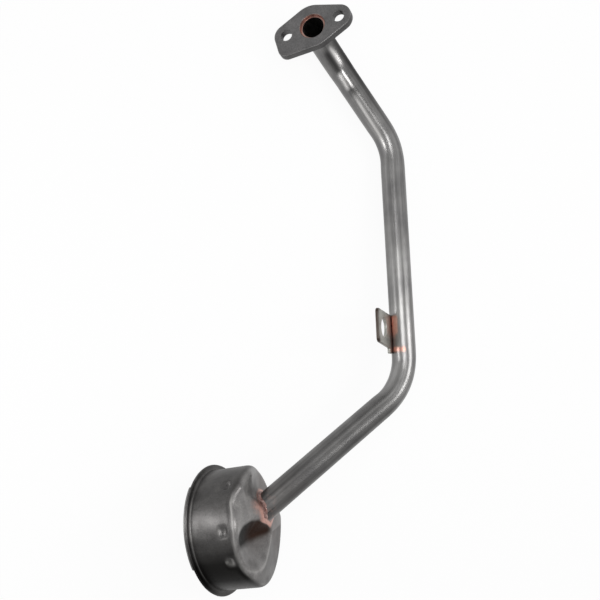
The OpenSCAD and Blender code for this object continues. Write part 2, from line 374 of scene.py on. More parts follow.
@dataclass(frozen=True)
class Finish:
    """A steel or braze surface with a copper wash where the braze has run.

    Drawn, stamped or furnace-brazed steel differs in grain, mottle and gloss, so
    each finish gives those; point attributes lay the wash, tint, painted shade and painted highlights.
    """

    name: str
    colour: str
    light: str
    dark: str
    rough: float
    rough_span: float
    grain_mm: float
    mottle_mm: float
    stretch: float = 1.0
    speck: float = 0.0
    bump: float = 0.15
    along: str = ""
    wash: str = "#A67468"
    wash_light: str = "#D2AA9E"
    # Colours laid by the marks: tint and painted shade, scaling and painted shade, painted highlights
    tint: str = "#3A2820"
    scale_and_shade: str = "#141312"
    painted_highlight_colour: str = "#C9C7C4"
    fleck: str = "#2A2725"
    fleck_scale: float = 0.42
    fleck_span: Span = (0.655, 0.7)
    grain_noise: Span = (4.0, 0.62)  # Detail and roughness, as in the next three
    mottle_noise: Span = (3.0, 0.55)
    fleck_noise: Span = (5.0, 0.7)
    wash_noise: Span = (4.0, 0.5)
    tone_at: Place = (0.32, 0.52, 0.72)
    grain_gain: Span = (0.78, 1.2)
    wash_scale: float = 0.35
    wash_swing: float = 0.9
    wash_span: Span = (0.3, 0.75)
    wash_rough: float = 0.34
    scale_rough: float = 0.18
    bump_depth: float = 0.0002

    def build(self) -> Material:
        """Build the finish's node tree.

        Returns:
            The new material.
        """
        mat = bpy.data.materials.new(self.name)
        t = empty_tree(mat)
        grain = noise(t, self.place(t), 1 / self.grain_mm, *self.grain_noise)
        mottle = noise(t, self.plain(t), 1 / self.mottle_mm, *self.mottle_noise)
        tone = add(t, "ShaderNodeValToRGB", {"Fac": mottle})
        ramp = tone.color_ramp.elements
        ramp[0].position, ramp[0].color = self.tone_at[0], linear(self.dark)
        ramp[1].position, ramp[1].color = self.tone_at[2], linear(self.light)
        ramp.new(self.tone_at[1]).color = linear(self.colour)
        fine = mapped(t, grain, NOISE_SPAN, self.grain_gain)
        lit = blend(t, 1.0, tone.outputs["Color"], fine, "MULTIPLY")
        colour, copper = self.washed(t, self.specks(t, lit))
        span = (self.rough - self.rough_span, self.rough + self.rough_span)
        rough = mapped(t, grain, NOISE_SPAN, span)
        dull = calc(t, "MULTIPLY_ADD", reading(t, "scale_and_shade"), self.scale_rough, rough)
        smooth = add(t, "ShaderNodeMix", {0: copper, 2: dull, 3: self.wash_rough}, data_type="FLOAT")
        bump = add(t, "ShaderNodeBump", {"Height": grain, "Strength": self.bump,
                                         "Distance": self.bump_depth})
        shader = add(t, "ShaderNodeBsdfPrincipled", {"Base Color": colour, "Metallic": 1.0,
                                                     "Roughness": smooth.outputs[0],
                                                     "Normal": bump.outputs["Normal"]})
        add(t, "ShaderNodeOutputMaterial", {"Surface": shader.outputs["BSDF"]})
        return mat

    def plain(self, t: Tree) -> Socket:
        """Give object coordinates in millimetres."""
        inputs = {0: add(t, "ShaderNodeTexCoord").outputs["Object"], "Scale": 1 / MM}
        return add(t, "ShaderNodeVectorMath", inputs, operation="SCALE").outputs["Vector"]

    def place(self, t: Tree) -> Socket:
        """Give the grain's coordinates, drawn out along the piece where it has a flow."""
        if not self.along:
            return self.plain(t)
        inputs = {0: reading(t, self.along, "Vector"), 1: (1.0, 1.0, 1 / self.stretch)}
        return add(t, "ShaderNodeVectorMath", inputs, operation="MULTIPLY").outputs["Vector"]

    def specks(self, t: Tree, colour: Socket) -> Socket:
        """Strew small dark flecks over the colour, as handling leaves them."""
        if not self.speck:
            return colour
        spots = noise(t, self.place(t), self.fleck_scale, *self.fleck_noise)
        mask = mapped(t, spots, self.fleck_span, (0.0, self.speck))
        return blend(t, mask, colour, linear(self.fleck))

    def washed(self, t: Tree, colour: Socket) -> tuple[Socket, Socket]:
        """Lay painted shade with scaling, heat tint, painted highlights and the copper wash over the
        colour.

        Args:
            t: Tree that takes the nodes.
            colour: Colour of the bare metal.

        Returns:
            The new colour, and how much of it is copper.
        """
        share = reading(t, "copper")
        edge = noise(t, self.plain(t), self.wash_scale, *self.wash_noise)
        swung = calc(t, "MULTIPLY_ADD", calc(t, "SUBTRACT", edge, 0.5), self.wash_swing, share)
        whole = calc(t, "MULTIPLY", mapped(t, swung, self.wash_span), share, clamp=True)
        # The darkening marks also lay painted shade; the bright mark lays painted highlights
        for mark, shade in (("scale_and_shade", self.scale_and_shade), ("tint", self.tint), ("painted_highlight", self.painted_highlight_colour)):
            colour = blend(t, reading(t, mark), colour, linear(shade))
        tone = blend(t, edge, linear(self.wash), linear(self.wash_light))
        return blend(t, whole, colour, tone), whole


# Low-carbon steel tube, cold drawn: fine lengthwise lines and a satin gloss; near-white for painted
# highlights
DRAWN_STEEL = Finish("drawn_steel_tube", "#939291", "#A3A2A1", "#828181", 0.31, 0.04, 1.6, 26.0,
                     stretch=60.0, speck=0.75, bump=0.0, along="flow", wash="#BE8272",
                     wash_light="#DDB5A7", painted_highlight_colour="#F0EEEC")
# Plate steel, blanked and furnace brazed: an even dull grey
BLANKED_STEEL = Finish("blanked_plate_steel", "#7B7A7A", "#848282", "#727171", 0.46, 0.05, 1.1, 14.0,
                       bump=0.1, wash="#86706B", wash_light="#B5A19B")
# Sheet steel of the tab, rubbed in handling
SHEET_STEEL = Finish("sheet_steel_tab", "#B1B0AA", "#BDBCB6", "#A2A19B", 0.46, 0.07, 0.7, 8.0,
                     bump=0.08)
# Deep-drawn sheet steel after the brazing furnace: dark, mottled and speckled
FURNACED_STEEL = Finish("furnaced_cup_steel", "#8C8A89", "#9C9A98", "#7B7978", 0.40, 0.08, 1.0, 11.0,
                        speck=0.35, bump=0.12)
# Strip steel of the strainer's frame
STRIP_STEEL = Finish("strip_steel_frame", "#7F7E7D", "#8D8C8B", "#70706F", 0.40, 0.06, 0.8, 10.0,
                     bump=0.12)
# Plain steel wire
STEEL_WIRE = Finish("steel_wire_cloth", "#8E8D8B", "#A09F9D", "#7C7B79", 0.34, 0.05, 0.8, 9.0,
                    bump=0.05)
# Copper brazing metal: pink-brown, glossy where it ran and wetted the steel; its near-black tint is
# painted shade at the tab
COPPER_BRAZE = Finish("copper_braze", "#93746E", "#B49C95", "#6C4D47", 0.40, 0.06, 1.2, 3.0, bump=0.04,
                      tint="#26100C")


# The route of the tube


@dataclass(frozen=True)
class Route:
    """The tube's bend schedule, from the gasket face to the cup's end."""

    runs: Row = (10.0, 53.0, 151.5, 114.8)
    bends: Row = (55.0, 38.0, 56.5)
    rolls: Row = (71.0, 54.5, 3.0)
    bend_r: float = 44.45
    lie: Place = (154.84, -35.49, 18.91)

    def lying(self) -> np.ndarray:
        """Give the flange's frame as the part lies."""
        x, y, z = self.lie
        return turn("Z", z) @ turn("Y", y) @ turn("X", x)

    def bent(self, angle: float) -> np.ndarray:
        """Give the step along a bend of the given angle."""
        return shift(self.bend_r, 0, 0) @ turn("Y", angle) @ shift(-self.bend_r, 0, 0)

    def arc(self, index: int) -> float:
        """Give the centreline length of a bend."""
        return math.radians(self.bends[index]) * self.bend_r

    def starts(self) -> list[Span]:
        """List where each bend starts and ends along the centreline."""
        out, s = [], 0.0
        for i in range(len(self.bends)):
            s += self.runs[i]
            out.append((s, s + self.arc(i)))
            s += self.arc(i)
        return out

    def length(self) -> float:
        """Give the centreline length from the gasket face to the cup's end."""
        return sum(self.runs) + sum(self.arc(i) for i in range(len(self.bends)))

    def at(self, s: float, twisted: bool = False) -> np.ndarray:
        """Give the frame at a length along the centreline.

        Args:
            s: Length from the gasket face.
            twisted: Whether the frame turns with the bend planes.

        Returns:
            A 4x4 frame with Z along the tube.
        """
        m, twist = self.lying(), 0.0
        for i, run in enumerate(self.runs):
            last = i == len(self.bends)
            if s <= run or last:
                m = m @ shift(0, 0, s)
                break
            s -= run
            m = m @ shift(0, 0, run) @ turn("Z", self.rolls[i])
            twist += self.rolls[i]
            if s <= self.arc(i):
                m = m @ self.bent(math.degrees(s / self.bend_r))
                break
            s -= self.arc(i)
            m = m @ self.bent(self.bends[i])
        return m if twisted else m @ turn("Z", -twist)


# Pieces


@dataclass(frozen=True)
class Dent:
    """A shallow hollow or flat pressed into the tube."""

    s: float
    angle: float
    depth: float
    length: float
    width: float


@dataclass(frozen=True)
class Patch:
    """A patch of painted highlight or painted shade on the tube, drawn out along it."""

    start: float
    end: float
    angle: float
    swing: float
    width: float
    share: float
    begin: Ramp = Ramp(-0.08, 0.22)
    stop: Ramp = Ramp(0.78, 1.08)

    def at(self, s: float, angle: np.ndarray) -> np.ndarray:
        """Give the patch's strength round the tube at a length along it."""
        t = (s - self.start) / (self.end - self.start)
        off = off_clock(angle, self.angle + self.swing * t)
        return self.begin.up(t) * self.stop.down(t) * Bell(0.0, self.width, self.share).at(off)


@dataclass(frozen=True)
class TubeMarks:
    """Where copper, heat tint, scaling with painted shade, and painted highlights lie on the tube.

    Lengths count from the gasket face, from the bracket (tab and pool) or from the
    cup's end (cup); sides are degrees round the tube.
    """

    mouth_wash: Ramp = Ramp(3.0, 4.4)
    inner_wash: Ramp = Ramp(2.5, 7.0, 0.6)
    tab_clock: float = 114.0
    tab_side: Ramp = Ramp(14.0, 34.0)
    tab_start: Ramp = Ramp(-14.5, -11.0)
    tab_thin: Ramp = Ramp(-3.0, 8.0, 0.75)
    tab_stop: Ramp = Ramp(12.0, 18.0)
    pool_clock: float = 98.0
    pool_side: Ramp = Ramp(30.0, 52.0)
    pool: Bell = Bell(13.6, 2.8, 0.95)
    cup_wash: Ramp = Ramp(-10.0, 0.0, 0.3)
    cup_tint: Ramp = Ramp(-40.0, -6.0, 0.12)
    # Painted shade near the flange, on set sides of the long run and on the leg to the cup
    top_dark: Ramp = Ramp(60.0, 125.0)
    top_least: float = 0.32
    top_side: Ramp = Ramp(8.0, 48.0, 0.58)
    run_dark: Ramp = Ramp(80.0, 130.0)
    run_upper: Ramp = Ramp(98.0, 130.0, 0.34)
    run_lower: Ramp = Ramp(-5.0, 25.0, 0.3)
    leg_dark: float = 0.5
    leg_in: Span = (5.0, 12.0)
    dark_most: float = 0.95
    highlight_most: float = 0.9
    # Painted highlights beside the first bends, standing in for reflections
    painted_highlights: tuple[Patch, ...] = (
        Patch(22.0, 47.0, 57.0, 0.0, 9.0, 0.8),
        Patch(50.0, 66.0, 86.0, 9.0, 9.0, 0.85),
        Patch(49.0, 66.0, 69.0, 2.0, 4.5, 0.85),
        Patch(70.0, 122.0, 87.0, 8.0, 7.5, 0.95),
    )
    # Painted shade: dark patches that break up the highlights near the flange
    dark_patches: tuple[Patch, ...] = (
        Patch(24.0, 52.0, 84.0, 0.0, 16.0, 0.45),
        Patch(65.0, 72.0, 78.0, 0.0, 26.0, 0.35),
    )


@dataclass
class Tube:
    """The drawn tube, oval in its bends and marked by the bender's clamps."""

    route: Route
    cup: Cup
    od: float = 19.05
    wall: float = 1.25
    inset: float = 2.6
    stub: float = 6.0
    cope: float = 0.9
    flat: float = 0.055
    swell: float = 0.025
    step: float = 1.6
    sides: int = 96
    cope_len: float = 14.0
    bend_ease: Ramp = Ramp(-6.0, 9.0)
    grain_apart: float = 200.0  # Keeps the grain inside from that outside
    marks: TubeMarks = TubeMarks()
    dents: tuple[Dent, ...] = (
        Dent(50.0, 100.0, 0.35, 5.0, 22.0),
        Dent(58.0, 140.0, 0.30, 5.0, 20.0),
        Dent(68.0, 110.0, 0.25, 6.0, 18.0),
    )

    def coped(self, angle: np.ndarray) -> tuple[float, np.ndarray]:
        """Find how the tube's end is cut to the cup's face.

        Args:
            angle: Places round the tube.

        Returns:
            Where the cut's stretch starts, and the end's length at each place.
        """
        last = self.route.length()
        ring = polar(angle, self.od / 2, 0.0)
        arms = ring @ self.route.at(last)[:3, :3].T @ self.cup.frame()[:3, :3]
        return last - self.cope_len, last + self.cup.entry(arms) + self.cope

    def oval(self, s: float, angle: np.ndarray) -> np.ndarray:
        """Give the radius factor round the tube at a length along it."""
        out, plane = np.ones_like(angle), 0.0
        for (start, end), roll in zip(self.route.starts(), self.route.rolls):
            plane += math.radians(roll)
            share = self.bend_ease.up(min(s - start, end - s))
            c2 = np.cos(angle - plane) ** 2
            out += share * (self.swell * (1 - c2) - self.flat * c2)
        return out

    def pressed(self, s: float, angle: np.ndarray) -> np.ndarray:
        """Give how far the dents push the surface in."""
        out = np.zeros_like(angle)
        for d in self.dents:
            off = off_clock(angle, d.angle)
            out += d.depth * np.exp(-((s - d.s) / d.length) ** 2 - (off / d.width) ** 2)
        return out

    def build(self, material: Material) -> Piece:
        """Sweep the outer and the inner wall along the route.

        Args:
            material: Finish of the tube.

        Returns:
            The tube's object.
        """
        end = self.route.length() + self.stub
        count = int(round((end - self.inset) / self.step)) + 1
        stations = np.linspace(self.inset, end, count)
        angle = circle(self.sides)
        start, tips = self.coped(angle)
        outer, inner, flow = [], [], []
        for s in map(float, stations):
            m, factor = self.route.at(s), self.oval(s, angle)
            reach = max(0.0, (s - start) / (end - start)) * (tips - end)
            out_r = self.od / 2 * factor - self.pressed(s, angle)
            outer.append(moved(m, polar(angle, out_r, reach)))
            inner.append(moved(m, polar(angle, (self.od / 2 - self.wall) * factor, reach)))
            flow.append(polar(angle, self.od / 2, s))
        rows = outer + inner[::-1]
        faces = grid_faces(len(rows), self.sides, True)
        piece = make_piece("suction_tube_visual", np.concatenate(rows), faces, material)
        store(piece, "flow", np.concatenate(flow + [ring + self.grain_apart for ring in flow[::-1]]))
        inside = {"copper": np.repeat(self.marks.inner_wash.down(stations[::-1]), self.sides)}
        bare = np.zeros(count * self.sides)
        marks = {"copper": self.wash, "tint": self.heat, "scale_and_shade": self.scale_and_painted_shade, "painted_highlight": self.painted_highlight}
        for name, mark in marks.items():
            outside = [mark(s, angle) for s in map(float, stations)]
            store(piece, name, np.concatenate([*outside, inside.get(name, bare)]))
        return declare(piece, Slot.TUBE, "suction_tube")

    def wash(self, s: float, angle: np.ndarray) -> np.ndarray:
        """Give the copper wash at the mouth, beside and below the bracket, and at the cup."""
        k, past = self.marks, s - (self.route.starts()[-1][0] - Bracket.back)
        along = k.tab_start.up(past) * (1 - k.tab_thin.up(past)) * k.tab_stop.down(past)
        beside = k.tab_side.down(np.abs(off_clock(angle, k.tab_clock))) * along
        below = k.pool_side.down(np.abs(off_clock(angle, k.pool_clock))) * k.pool.at(past)
        ends = max(k.mouth_wash.down(s), k.cup_wash.up(s - self.route.length()))
        return np.maximum(np.maximum(beside, below), ends)

    def scale_and_painted_shade(self, s: float, angle: np.ndarray) -> np.ndarray:
        """Give the painted shade with scaling, thick near the flange and on the leg to the cup."""
        k, (bend, leg) = self.marks, self.route.starts()[-1]
        turned = off_clock(angle, 0.0)
        top = k.top_dark.down(s) * (k.top_least + k.top_side.down(turned))
        sides = k.run_upper.up(turned) + k.run_lower.down(turned)
        run = k.run_dark.up(s) * Ramp(bend, leg).down(s) * sides
        low = Ramp(bend + k.leg_in[0], leg + k.leg_in[1], k.leg_dark).up(s)
        dark = sum(patch.at(s, angle) for patch in k.dark_patches)
        return np.clip(top + dark + run + low, 0, k.dark_most)

    def painted_highlight(self, s: float, angle: np.ndarray) -> np.ndarray:
        """Give the painted highlights beside the first bends."""
        k = self.marks
        return np.clip(sum(patch.at(s, angle) for patch in k.painted_highlights), 0, k.highlight_most)

    def heat(self, s: float, angle: np.ndarray) -> np.ndarray:
        """Give the brown heat tint round the tube at a length along it."""
        return np.full_like(angle, self.marks.cup_tint.up(s - self.route.length()))


@dataclass
class Flange:
    """The blanked two-bolt plate with its ear."""

    route: Route
    thick: float = 6.0
    spacing: float = 41.3
    bolt_d: float = 8.7
    mid_r: float = 17.4
    end_r: float = 9.6
    ear_r: float = 6.6
    ear_at: Span = (-22.8, 10.3)
    hole_r: float = 9.675
    chamfer: float = 0.45
    arc_step: float = 4.0
    hole_sides: int = 96
    bolt_sides: int = 56
    pitch: float = 1.2
    rim_copper: Ramp = Ramp(0.2, 0.42, 0.9)
    rim_tint: Ramp = Ramp(0.02, 0.3, 0.6)
    face_dark: Ramp = Ramp(0.3, 0.75, 0.45)
    dark_r: float = 14.0

    def corners(self) -> list[tuple[np.ndarray, float]]:
        """List the outline's round corners, in order round the plate."""
        half = self.spacing / 2
        return [(np.array([half, 0.0]), self.end_r), (np.zeros(2), self.mid_r),
                (np.array([-half, 0.0]), self.end_r), (np.array(self.ear_at), self.ear_r),
                (np.zeros(2), self.mid_r)]

    def outline(self, inset: float) -> np.ndarray:
        """Trace the outline: arcs joined by their outer tangents.

        Args:
            inset: Distance that the outline is drawn in.

        Returns:
            Points round the plate.
        """
        corners = [(c, r - inset) for c, r in self.corners()]
        tangents = []
        for (a, ra), (b, rb) in zip(corners, corners[1:] + corners[:1]):
            d = np.linalg.norm(b - a)
            u = (b - a) / d
            c = (ra - rb) / d
            s = math.sqrt(1 - c * c)
            tangents.append(math.atan2(u[1] * c + u[0] * s, u[0] * c - u[1] * s))
        points = []
        for i, (centre, radius) in enumerate(corners):
            start, stop = tangents[i - 1], tangents[i]
            sweep = (start - stop) % (2 * math.pi)
            count = max(3, int(math.degrees(sweep) / self.arc_step))
            for t in np.linspace(0, 1, count):
                a = start - sweep * t
                points.append(centre + radius * np.array([math.cos(a), math.sin(a)]))
        return np.array(points)

    def build(self, material: Material) -> Piece:
        """Make the plate with rolled edges, bolt holes and a chamfered tube hole.

        Args:
            material: Finish of the plate.

        Returns:
            The flange's object.
        """
        t, half, cut = self.thick, self.spacing / 2, self.chamfer
        # Insets and heights of the rolled edge, the tube hole and the bolt holes
        edge = [(0.75, 0.0), (0.38, 0.07), (0.12, 0.3), (0.0, 0.75),
                (0.0, t - 0.3), (0.1, t - 0.08), (0.32, t)]
        rim = [(cut, 0.0), (cut * 0.94, 0.0), (0.0, cut), (0.0, t - 0.2), (0.2, t)]
        bolt = [(0.35, 0.0), (0.1, 0.1), (0.0, 0.4), (0.0, t - 0.25), (0.25, t)]
        walls = [[raised(self.outline(i), z) for i, z in edge],
                 hole_rows((0.0, 0.0), self.hole_r, rim, self.hole_sides)]
        walls += [hole_rows((x, 0.0), self.bolt_d / 2, bolt, self.bolt_sides) for x in (-half, half)]
        points, faces = plate_mesh(walls, self.pitch)
        m = self.route.lying()
        piece = make_piece("mounting_flange_visual", moved(m, points), faces, material, sharp=32)
        flat = moved(np.linalg.inv(m), points_of(piece))
        r = np.linalg.norm(flat[:, :2], axis=1)
        store(piece, "copper", self.rim_copper.down(r - self.hole_r))
        store(piece, "tint", self.rim_tint.down(r - self.hole_r))
        # Darker on the walls and the far face, outside a radius round the hole
        store(piece, "scale_and_shade", self.face_dark.up(flat[:, 2]) * (r > self.dark_r))
        return declare(piece, Slot.FLANGE, "mounting_flange")


def plate_mesh(walls: list[list[np.ndarray]], pitch: float) -> tuple[np.ndarray, list[Face]]:
    """Join the walls of a plate's outline and holes with its two flat faces.

    Args:
        walls: The outline's rows from the first face to the second, then each hole's.
        pitch: Distance of the points strewn over the flat faces.

    Returns:
        Points and faces of the closed plate.
    """
    points: list[np.ndarray] = []
    faces: list[Face] = []
    loops: tuple[list[list[int]], list[list[int]]] = ([], [])
    total = 0
    for rows in walls:
        n = len(rows[0])
        faces += [tuple(total + c for c in f) for f in grid_faces(len(rows), n)]
        loops[0].append(list(range(total, total + n)))
        loops[1].append(list(range(total + (len(rows) - 1) * n, total + len(rows) * n)))
        points += rows
        total += len(rows) * n
    for side in loops:
        ground = np.concatenate(points)
        rims = [ground[loop][:, :2] for loop in side]
        inside, rim = inside_test(rims), np.concatenate(rims)
        low, high = rim.min(axis=0), rim.max(axis=0)
        steps = [np.arange(a, b, pitch) for a, b in zip(low, high)]
        grid = np.stack(np.meshgrid(*steps), axis=-1).reshape(-1, 2)
        gaps = np.min(np.linalg.norm(grid[:, None] - rim[None], axis=2), axis=1)
        strewn = [q for q, gap in zip(grid, gaps) if gap > pitch * STREWN_CLEAR and inside(q)]
        side.append(list(range(total, total + len(strewn))))
        points.append(raised(strewn, ground[side[0][0]][2]))
        total += len(strewn)
    everything = np.concatenate(points)
    for *side, strewn in loops:
        index = [i for loop in side for i in loop] + strewn
        flat = [Vector(everything[i][:2]) for i in index]
        edges, base = [], 0
        for loop in side:
            edges += [(base + i, base + (i + 1) % len(loop)) for i in range(len(loop))]
            base += len(loop)
        _, _, tris, origins, _, _ = delaunay_2d_cdt(flat, edges, [], 0, WELD)
        keep = inside_test([everything[loop][:, :2] for loop in side])
        for tri in tris:
            corners = [index[origins[c][0]] for c in tri]
            if keep(everything[corners][:, :2].mean(axis=0)):
                faces.append(tuple(corners))
    return everything, faces


def inside_test(loops: list[np.ndarray]) -> Callable[[np.ndarray], bool]:
    """Make a test for a point inside the first loop and outside the others."""

    def within(loop: np.ndarray, p: np.ndarray) -> bool:
        a, b = loop, np.roll(loop, -1, axis=0)
        cross = (a[:, 1] > p[1]) != (b[:, 1] > p[1])
        with np.errstate(divide="ignore", invalid="ignore"):
            x = a[:, 0] + (p[1] - a[:, 1]) * (b[:, 0] - a[:, 0]) / (b[:, 1] - a[:, 1])
        return bool(np.sum(cross & (p[0] < x)) % 2)

    return lambda p: within(loops[0], p) and not any(within(loop, p) for loop in loops[1:])


@dataclass
class Bracket:
    """The sheet-metal tab that takes a stud beside the tube."""

    route: Route
    tube_r: float = 9.525
    gap: float = 0.15
    thick: float = 2.2
    reach: float = 37.5
    width: float = 25.5
    rake: float = 4.0
    corner: float = 2.0
    stud_d: float = 14.5
    stud_at: float = 23.0
    foot_len: float = 4.0
    foot_w: float = 10.0
    back: float = 17.9
    offset: float = 7.9
    clock: float = -40.0
    edge: float = 0.3
    blunt: float = 0.9
    warp: Ramp = Ramp(8.0, 30.0, 0.35)
    warp_from: float = -6.0
    warp_len: float = 9.0
    stud_sides: int = 64
    pitch: float = 1.0
    root_copper: Ramp = Ramp(5.0, 14.0, 0.6)
    root_tint: Ramp = Ramp(4.0, 12.0, 0.25)
    tip_in: Ramp = Ramp(-5.0, -0.5)
    tip_tint: float = 0.3
    end_tint: Ramp = Ramp(6.0, 11.0, 0.6)

    def root(self) -> float:
        """Give the root's distance from the tube's axis, along the tab."""
        return math.sqrt((self.tube_r + self.gap) ** 2 - (self.offset + self.thick / 2) ** 2)

    def frame(self) -> np.ndarray:
        """Give the tab's frame: X away from the tube, Z along the tube."""
        s = self.route.starts()[-1][0] - self.back
        return self.route.at(s, twisted=True) @ turn("Z", self.clock)

    def outline(self, inset: float) -> np.ndarray:
        """Trace the tab's outline, drawn in by inset, in X and Z."""
        half, root, tip = self.width / 2, self.root(), self.root() + self.reach
        c, rake, foot, top = self.corner, self.rake, root + self.foot_w, half + self.foot_len
        raw = [[root, -half], [tip - c, -half - rake], [tip, -half - rake + c], [tip, half - rake - c],
               [tip - c, half - rake], [foot, half], [foot, top], [root, top]]
        return inset_polygon(rounded(np.array(raw), self.blunt), inset)

    def build(self, material: Material) -> Piece:
        """Make the tab with its stud hole and broken edges.

        Args:
            material: Finish of the tab.

        Returns:
            The bracket's object.
        """
        t, e = self.thick, self.edge
        rows = [(e, 0.0), (e * 0.3, e * 0.3), (0.0, e), (0.0, t - e), (e * 0.3, t - e * 0.3), (e, t)]
        rim = [(e * 0.8, 0.0), (0.0, e), (0.0, t - e), (e * 0.8, t)]
        centre = (self.root() + self.stud_at, -self.rake * self.stud_at / self.reach)
        edge = [raised(self.outline(i), z) for i, z in rows]
        hole = hole_rows(centre, self.stud_d / 2, rim, self.stud_sides)
        points, faces = plate_mesh([edge, hole], self.pitch)
        x, z, y = points.T
        y = self.offset - t / 2 + y
        x = x + self.warp.up(x - self.root()) * np.sin((z - self.warp_from) / self.warp_len)
        x = np.maximum(x, np.sqrt((self.tube_r + self.gap) ** 2 - y ** 2))
        m, local = self.frame(), np.column_stack([x, y, z])
        piece = make_piece("support_bracket_visual", moved(m, local), faces, material, sharp=32)
        back = moved(np.linalg.inv(m), points_of(piece))
        out = back[:, 0] - self.root()
        ends = self.tip_tint + self.end_tint.up(np.abs(back[:, 2] + self.rake))
        dark_patches = self.root_tint.down(out) + self.tip_in.up(out - self.reach) * ends
        store(piece, "copper", self.root_copper.down(out))
        store(piece, "tint", np.clip(dark_patches, 0, 1))
        return declare(piece, Slot.BRACKET, "support_bracket")


def rounded(polygon: np.ndarray, radius: float, count: int = 4) -> np.ndarray:
    """Round the corners of a polygon.

    Args:
        polygon: Corner points.
        radius: Length cut from each side of a corner.
        count: Points on each corner.

    Returns:
        The rounded outline.
    """
    out = []
    for i, p in enumerate(polygon):
        a, b = polygon[i - 1], polygon[(i + 1) % len(polygon)]
        cut = [min(radius, 0.4 * np.linalg.norm(q - p)) for q in (a, b)]
        start = p + (a - p) / np.linalg.norm(a - p) * cut[0]
        stop = p + (b - p) / np.linalg.norm(b - p) * cut[1]
        out += bezier(start, p, stop, count)
    return np.array(out)


def inset_polygon(polygon: np.ndarray, distance: float) -> np.ndarray:
    """Draw a polygon in along its corners' bisectors."""
    if distance == 0:
        return polygon
    x, y = polygon.T
    area = np.sum(x * np.roll(y, -1) - np.roll(x, -1) * y)
    before = polygon - np.roll(polygon, 1, axis=0)
    after = np.roll(polygon, -1, axis=0) - polygon
    before /= np.linalg.norm(before, axis=1)[:, None]
    after /= np.linalg.norm(after, axis=1)[:, None]
    side = 1.0 if area > 0 else -1.0
    n1 = np.stack([-before[:, 1], before[:, 0]], axis=1) * side
    n2 = np.stack([-after[:, 1], after[:, 0]], axis=1) * side
    mean = n1 + n2
    mean /= np.maximum(np.sum(mean * n1, axis=1), 0.2)[:, None]
    return polygon + mean * distance


@dataclass(frozen=True)
class Facet:
    """A plane of the cup's end: height on the axis, slope and where it falls."""

    height: float
    slope: float
    falls: float

    def at(self, x: np.ndarray, y: np.ndarray) -> np.ndarray:
        """Give the plane's height."""
        a = math.radians(self.falls)
        return self.height - math.tan(math.radians(self.slope)) * (x * math.cos(a) + y * math.sin(a))


@dataclass(frozen=True)
class CupMarks:
    """Where copper, heat tint, scaling, painted shade and painted highlights lie on the cup.

    Rims are places in the dish (1 on its rim), clocks are degrees round the cup.
    """

    copper_gap: Span = (1.5, 7.0)
    copper_thin: Ramp = Ramp(8.0, 16.0, 4.0)
    copper_rim: Ramp = Ramp(0.86, 1.0)
    copper_z: Ramp = Ramp(26.0, 30.0)
    run_x: Bell = Bell(-6.0, 9.0, 0.75)
    run_y: Bell = Bell(14.0, 8.0)
    # Tint: painted shade on the dish's steep side, and heat tint round the tube
    shade_x: Ramp = Ramp(-24.0, -4.0, 0.9)
    tint_z: Ramp = Ramp(20.0, 26.0)
    halo: Ramp = Ramp(3.0, 18.0, 0.25)
    side_x: Ramp = Ramp(8.0, 18.0, 0.3)
    side_y: Ramp = Ramp(-30.0, -18.0)
    gloom_y: Ramp = Ramp(-6.0, 2.0)
    gloom_rim: Ramp = Ramp(0.75, 1.08)
    most: float = 0.97
    # Painted shade on the wall, darkest on its lower side, with a band of painted highlight
    wall_r: Ramp = Ramp(38.5, 41.0)
    wall_z: Ramp = Ramp(26.0, 28.0)
    wall_darkening: float = 0.64
    wall_dark: Bell = Bell(213.0, 22.0, 0.45)
    wall_light: Bell = Bell(163.0, 13.0, 0.34)
    wall_most: float = 0.985
    beyond_rim: Ramp = Ramp(1.03, 1.12, 0.4)
    beyond_x: Ramp = Ramp(-24.0, -12.0)
    beyond_y: float = -3.0
    floor_rim: Ramp = Ramp(0.8, 1.0, 0.25)
    # Painted highlights: along the shoulder on faces of one tilt, and on the dish's rim
    highlight_start: Ramp = Ramp(132.0, 150.0)
    highlight_stop: Ramp = Ramp(205.0, 232.0)
    highlight_tilt: Bell = Bell(0.68, 0.08, 0.55)
    highlight_r: float = 34.0
    ridge: Bell = Bell(1.0, 0.04, 0.22)
    ridge_y: float = -5.0


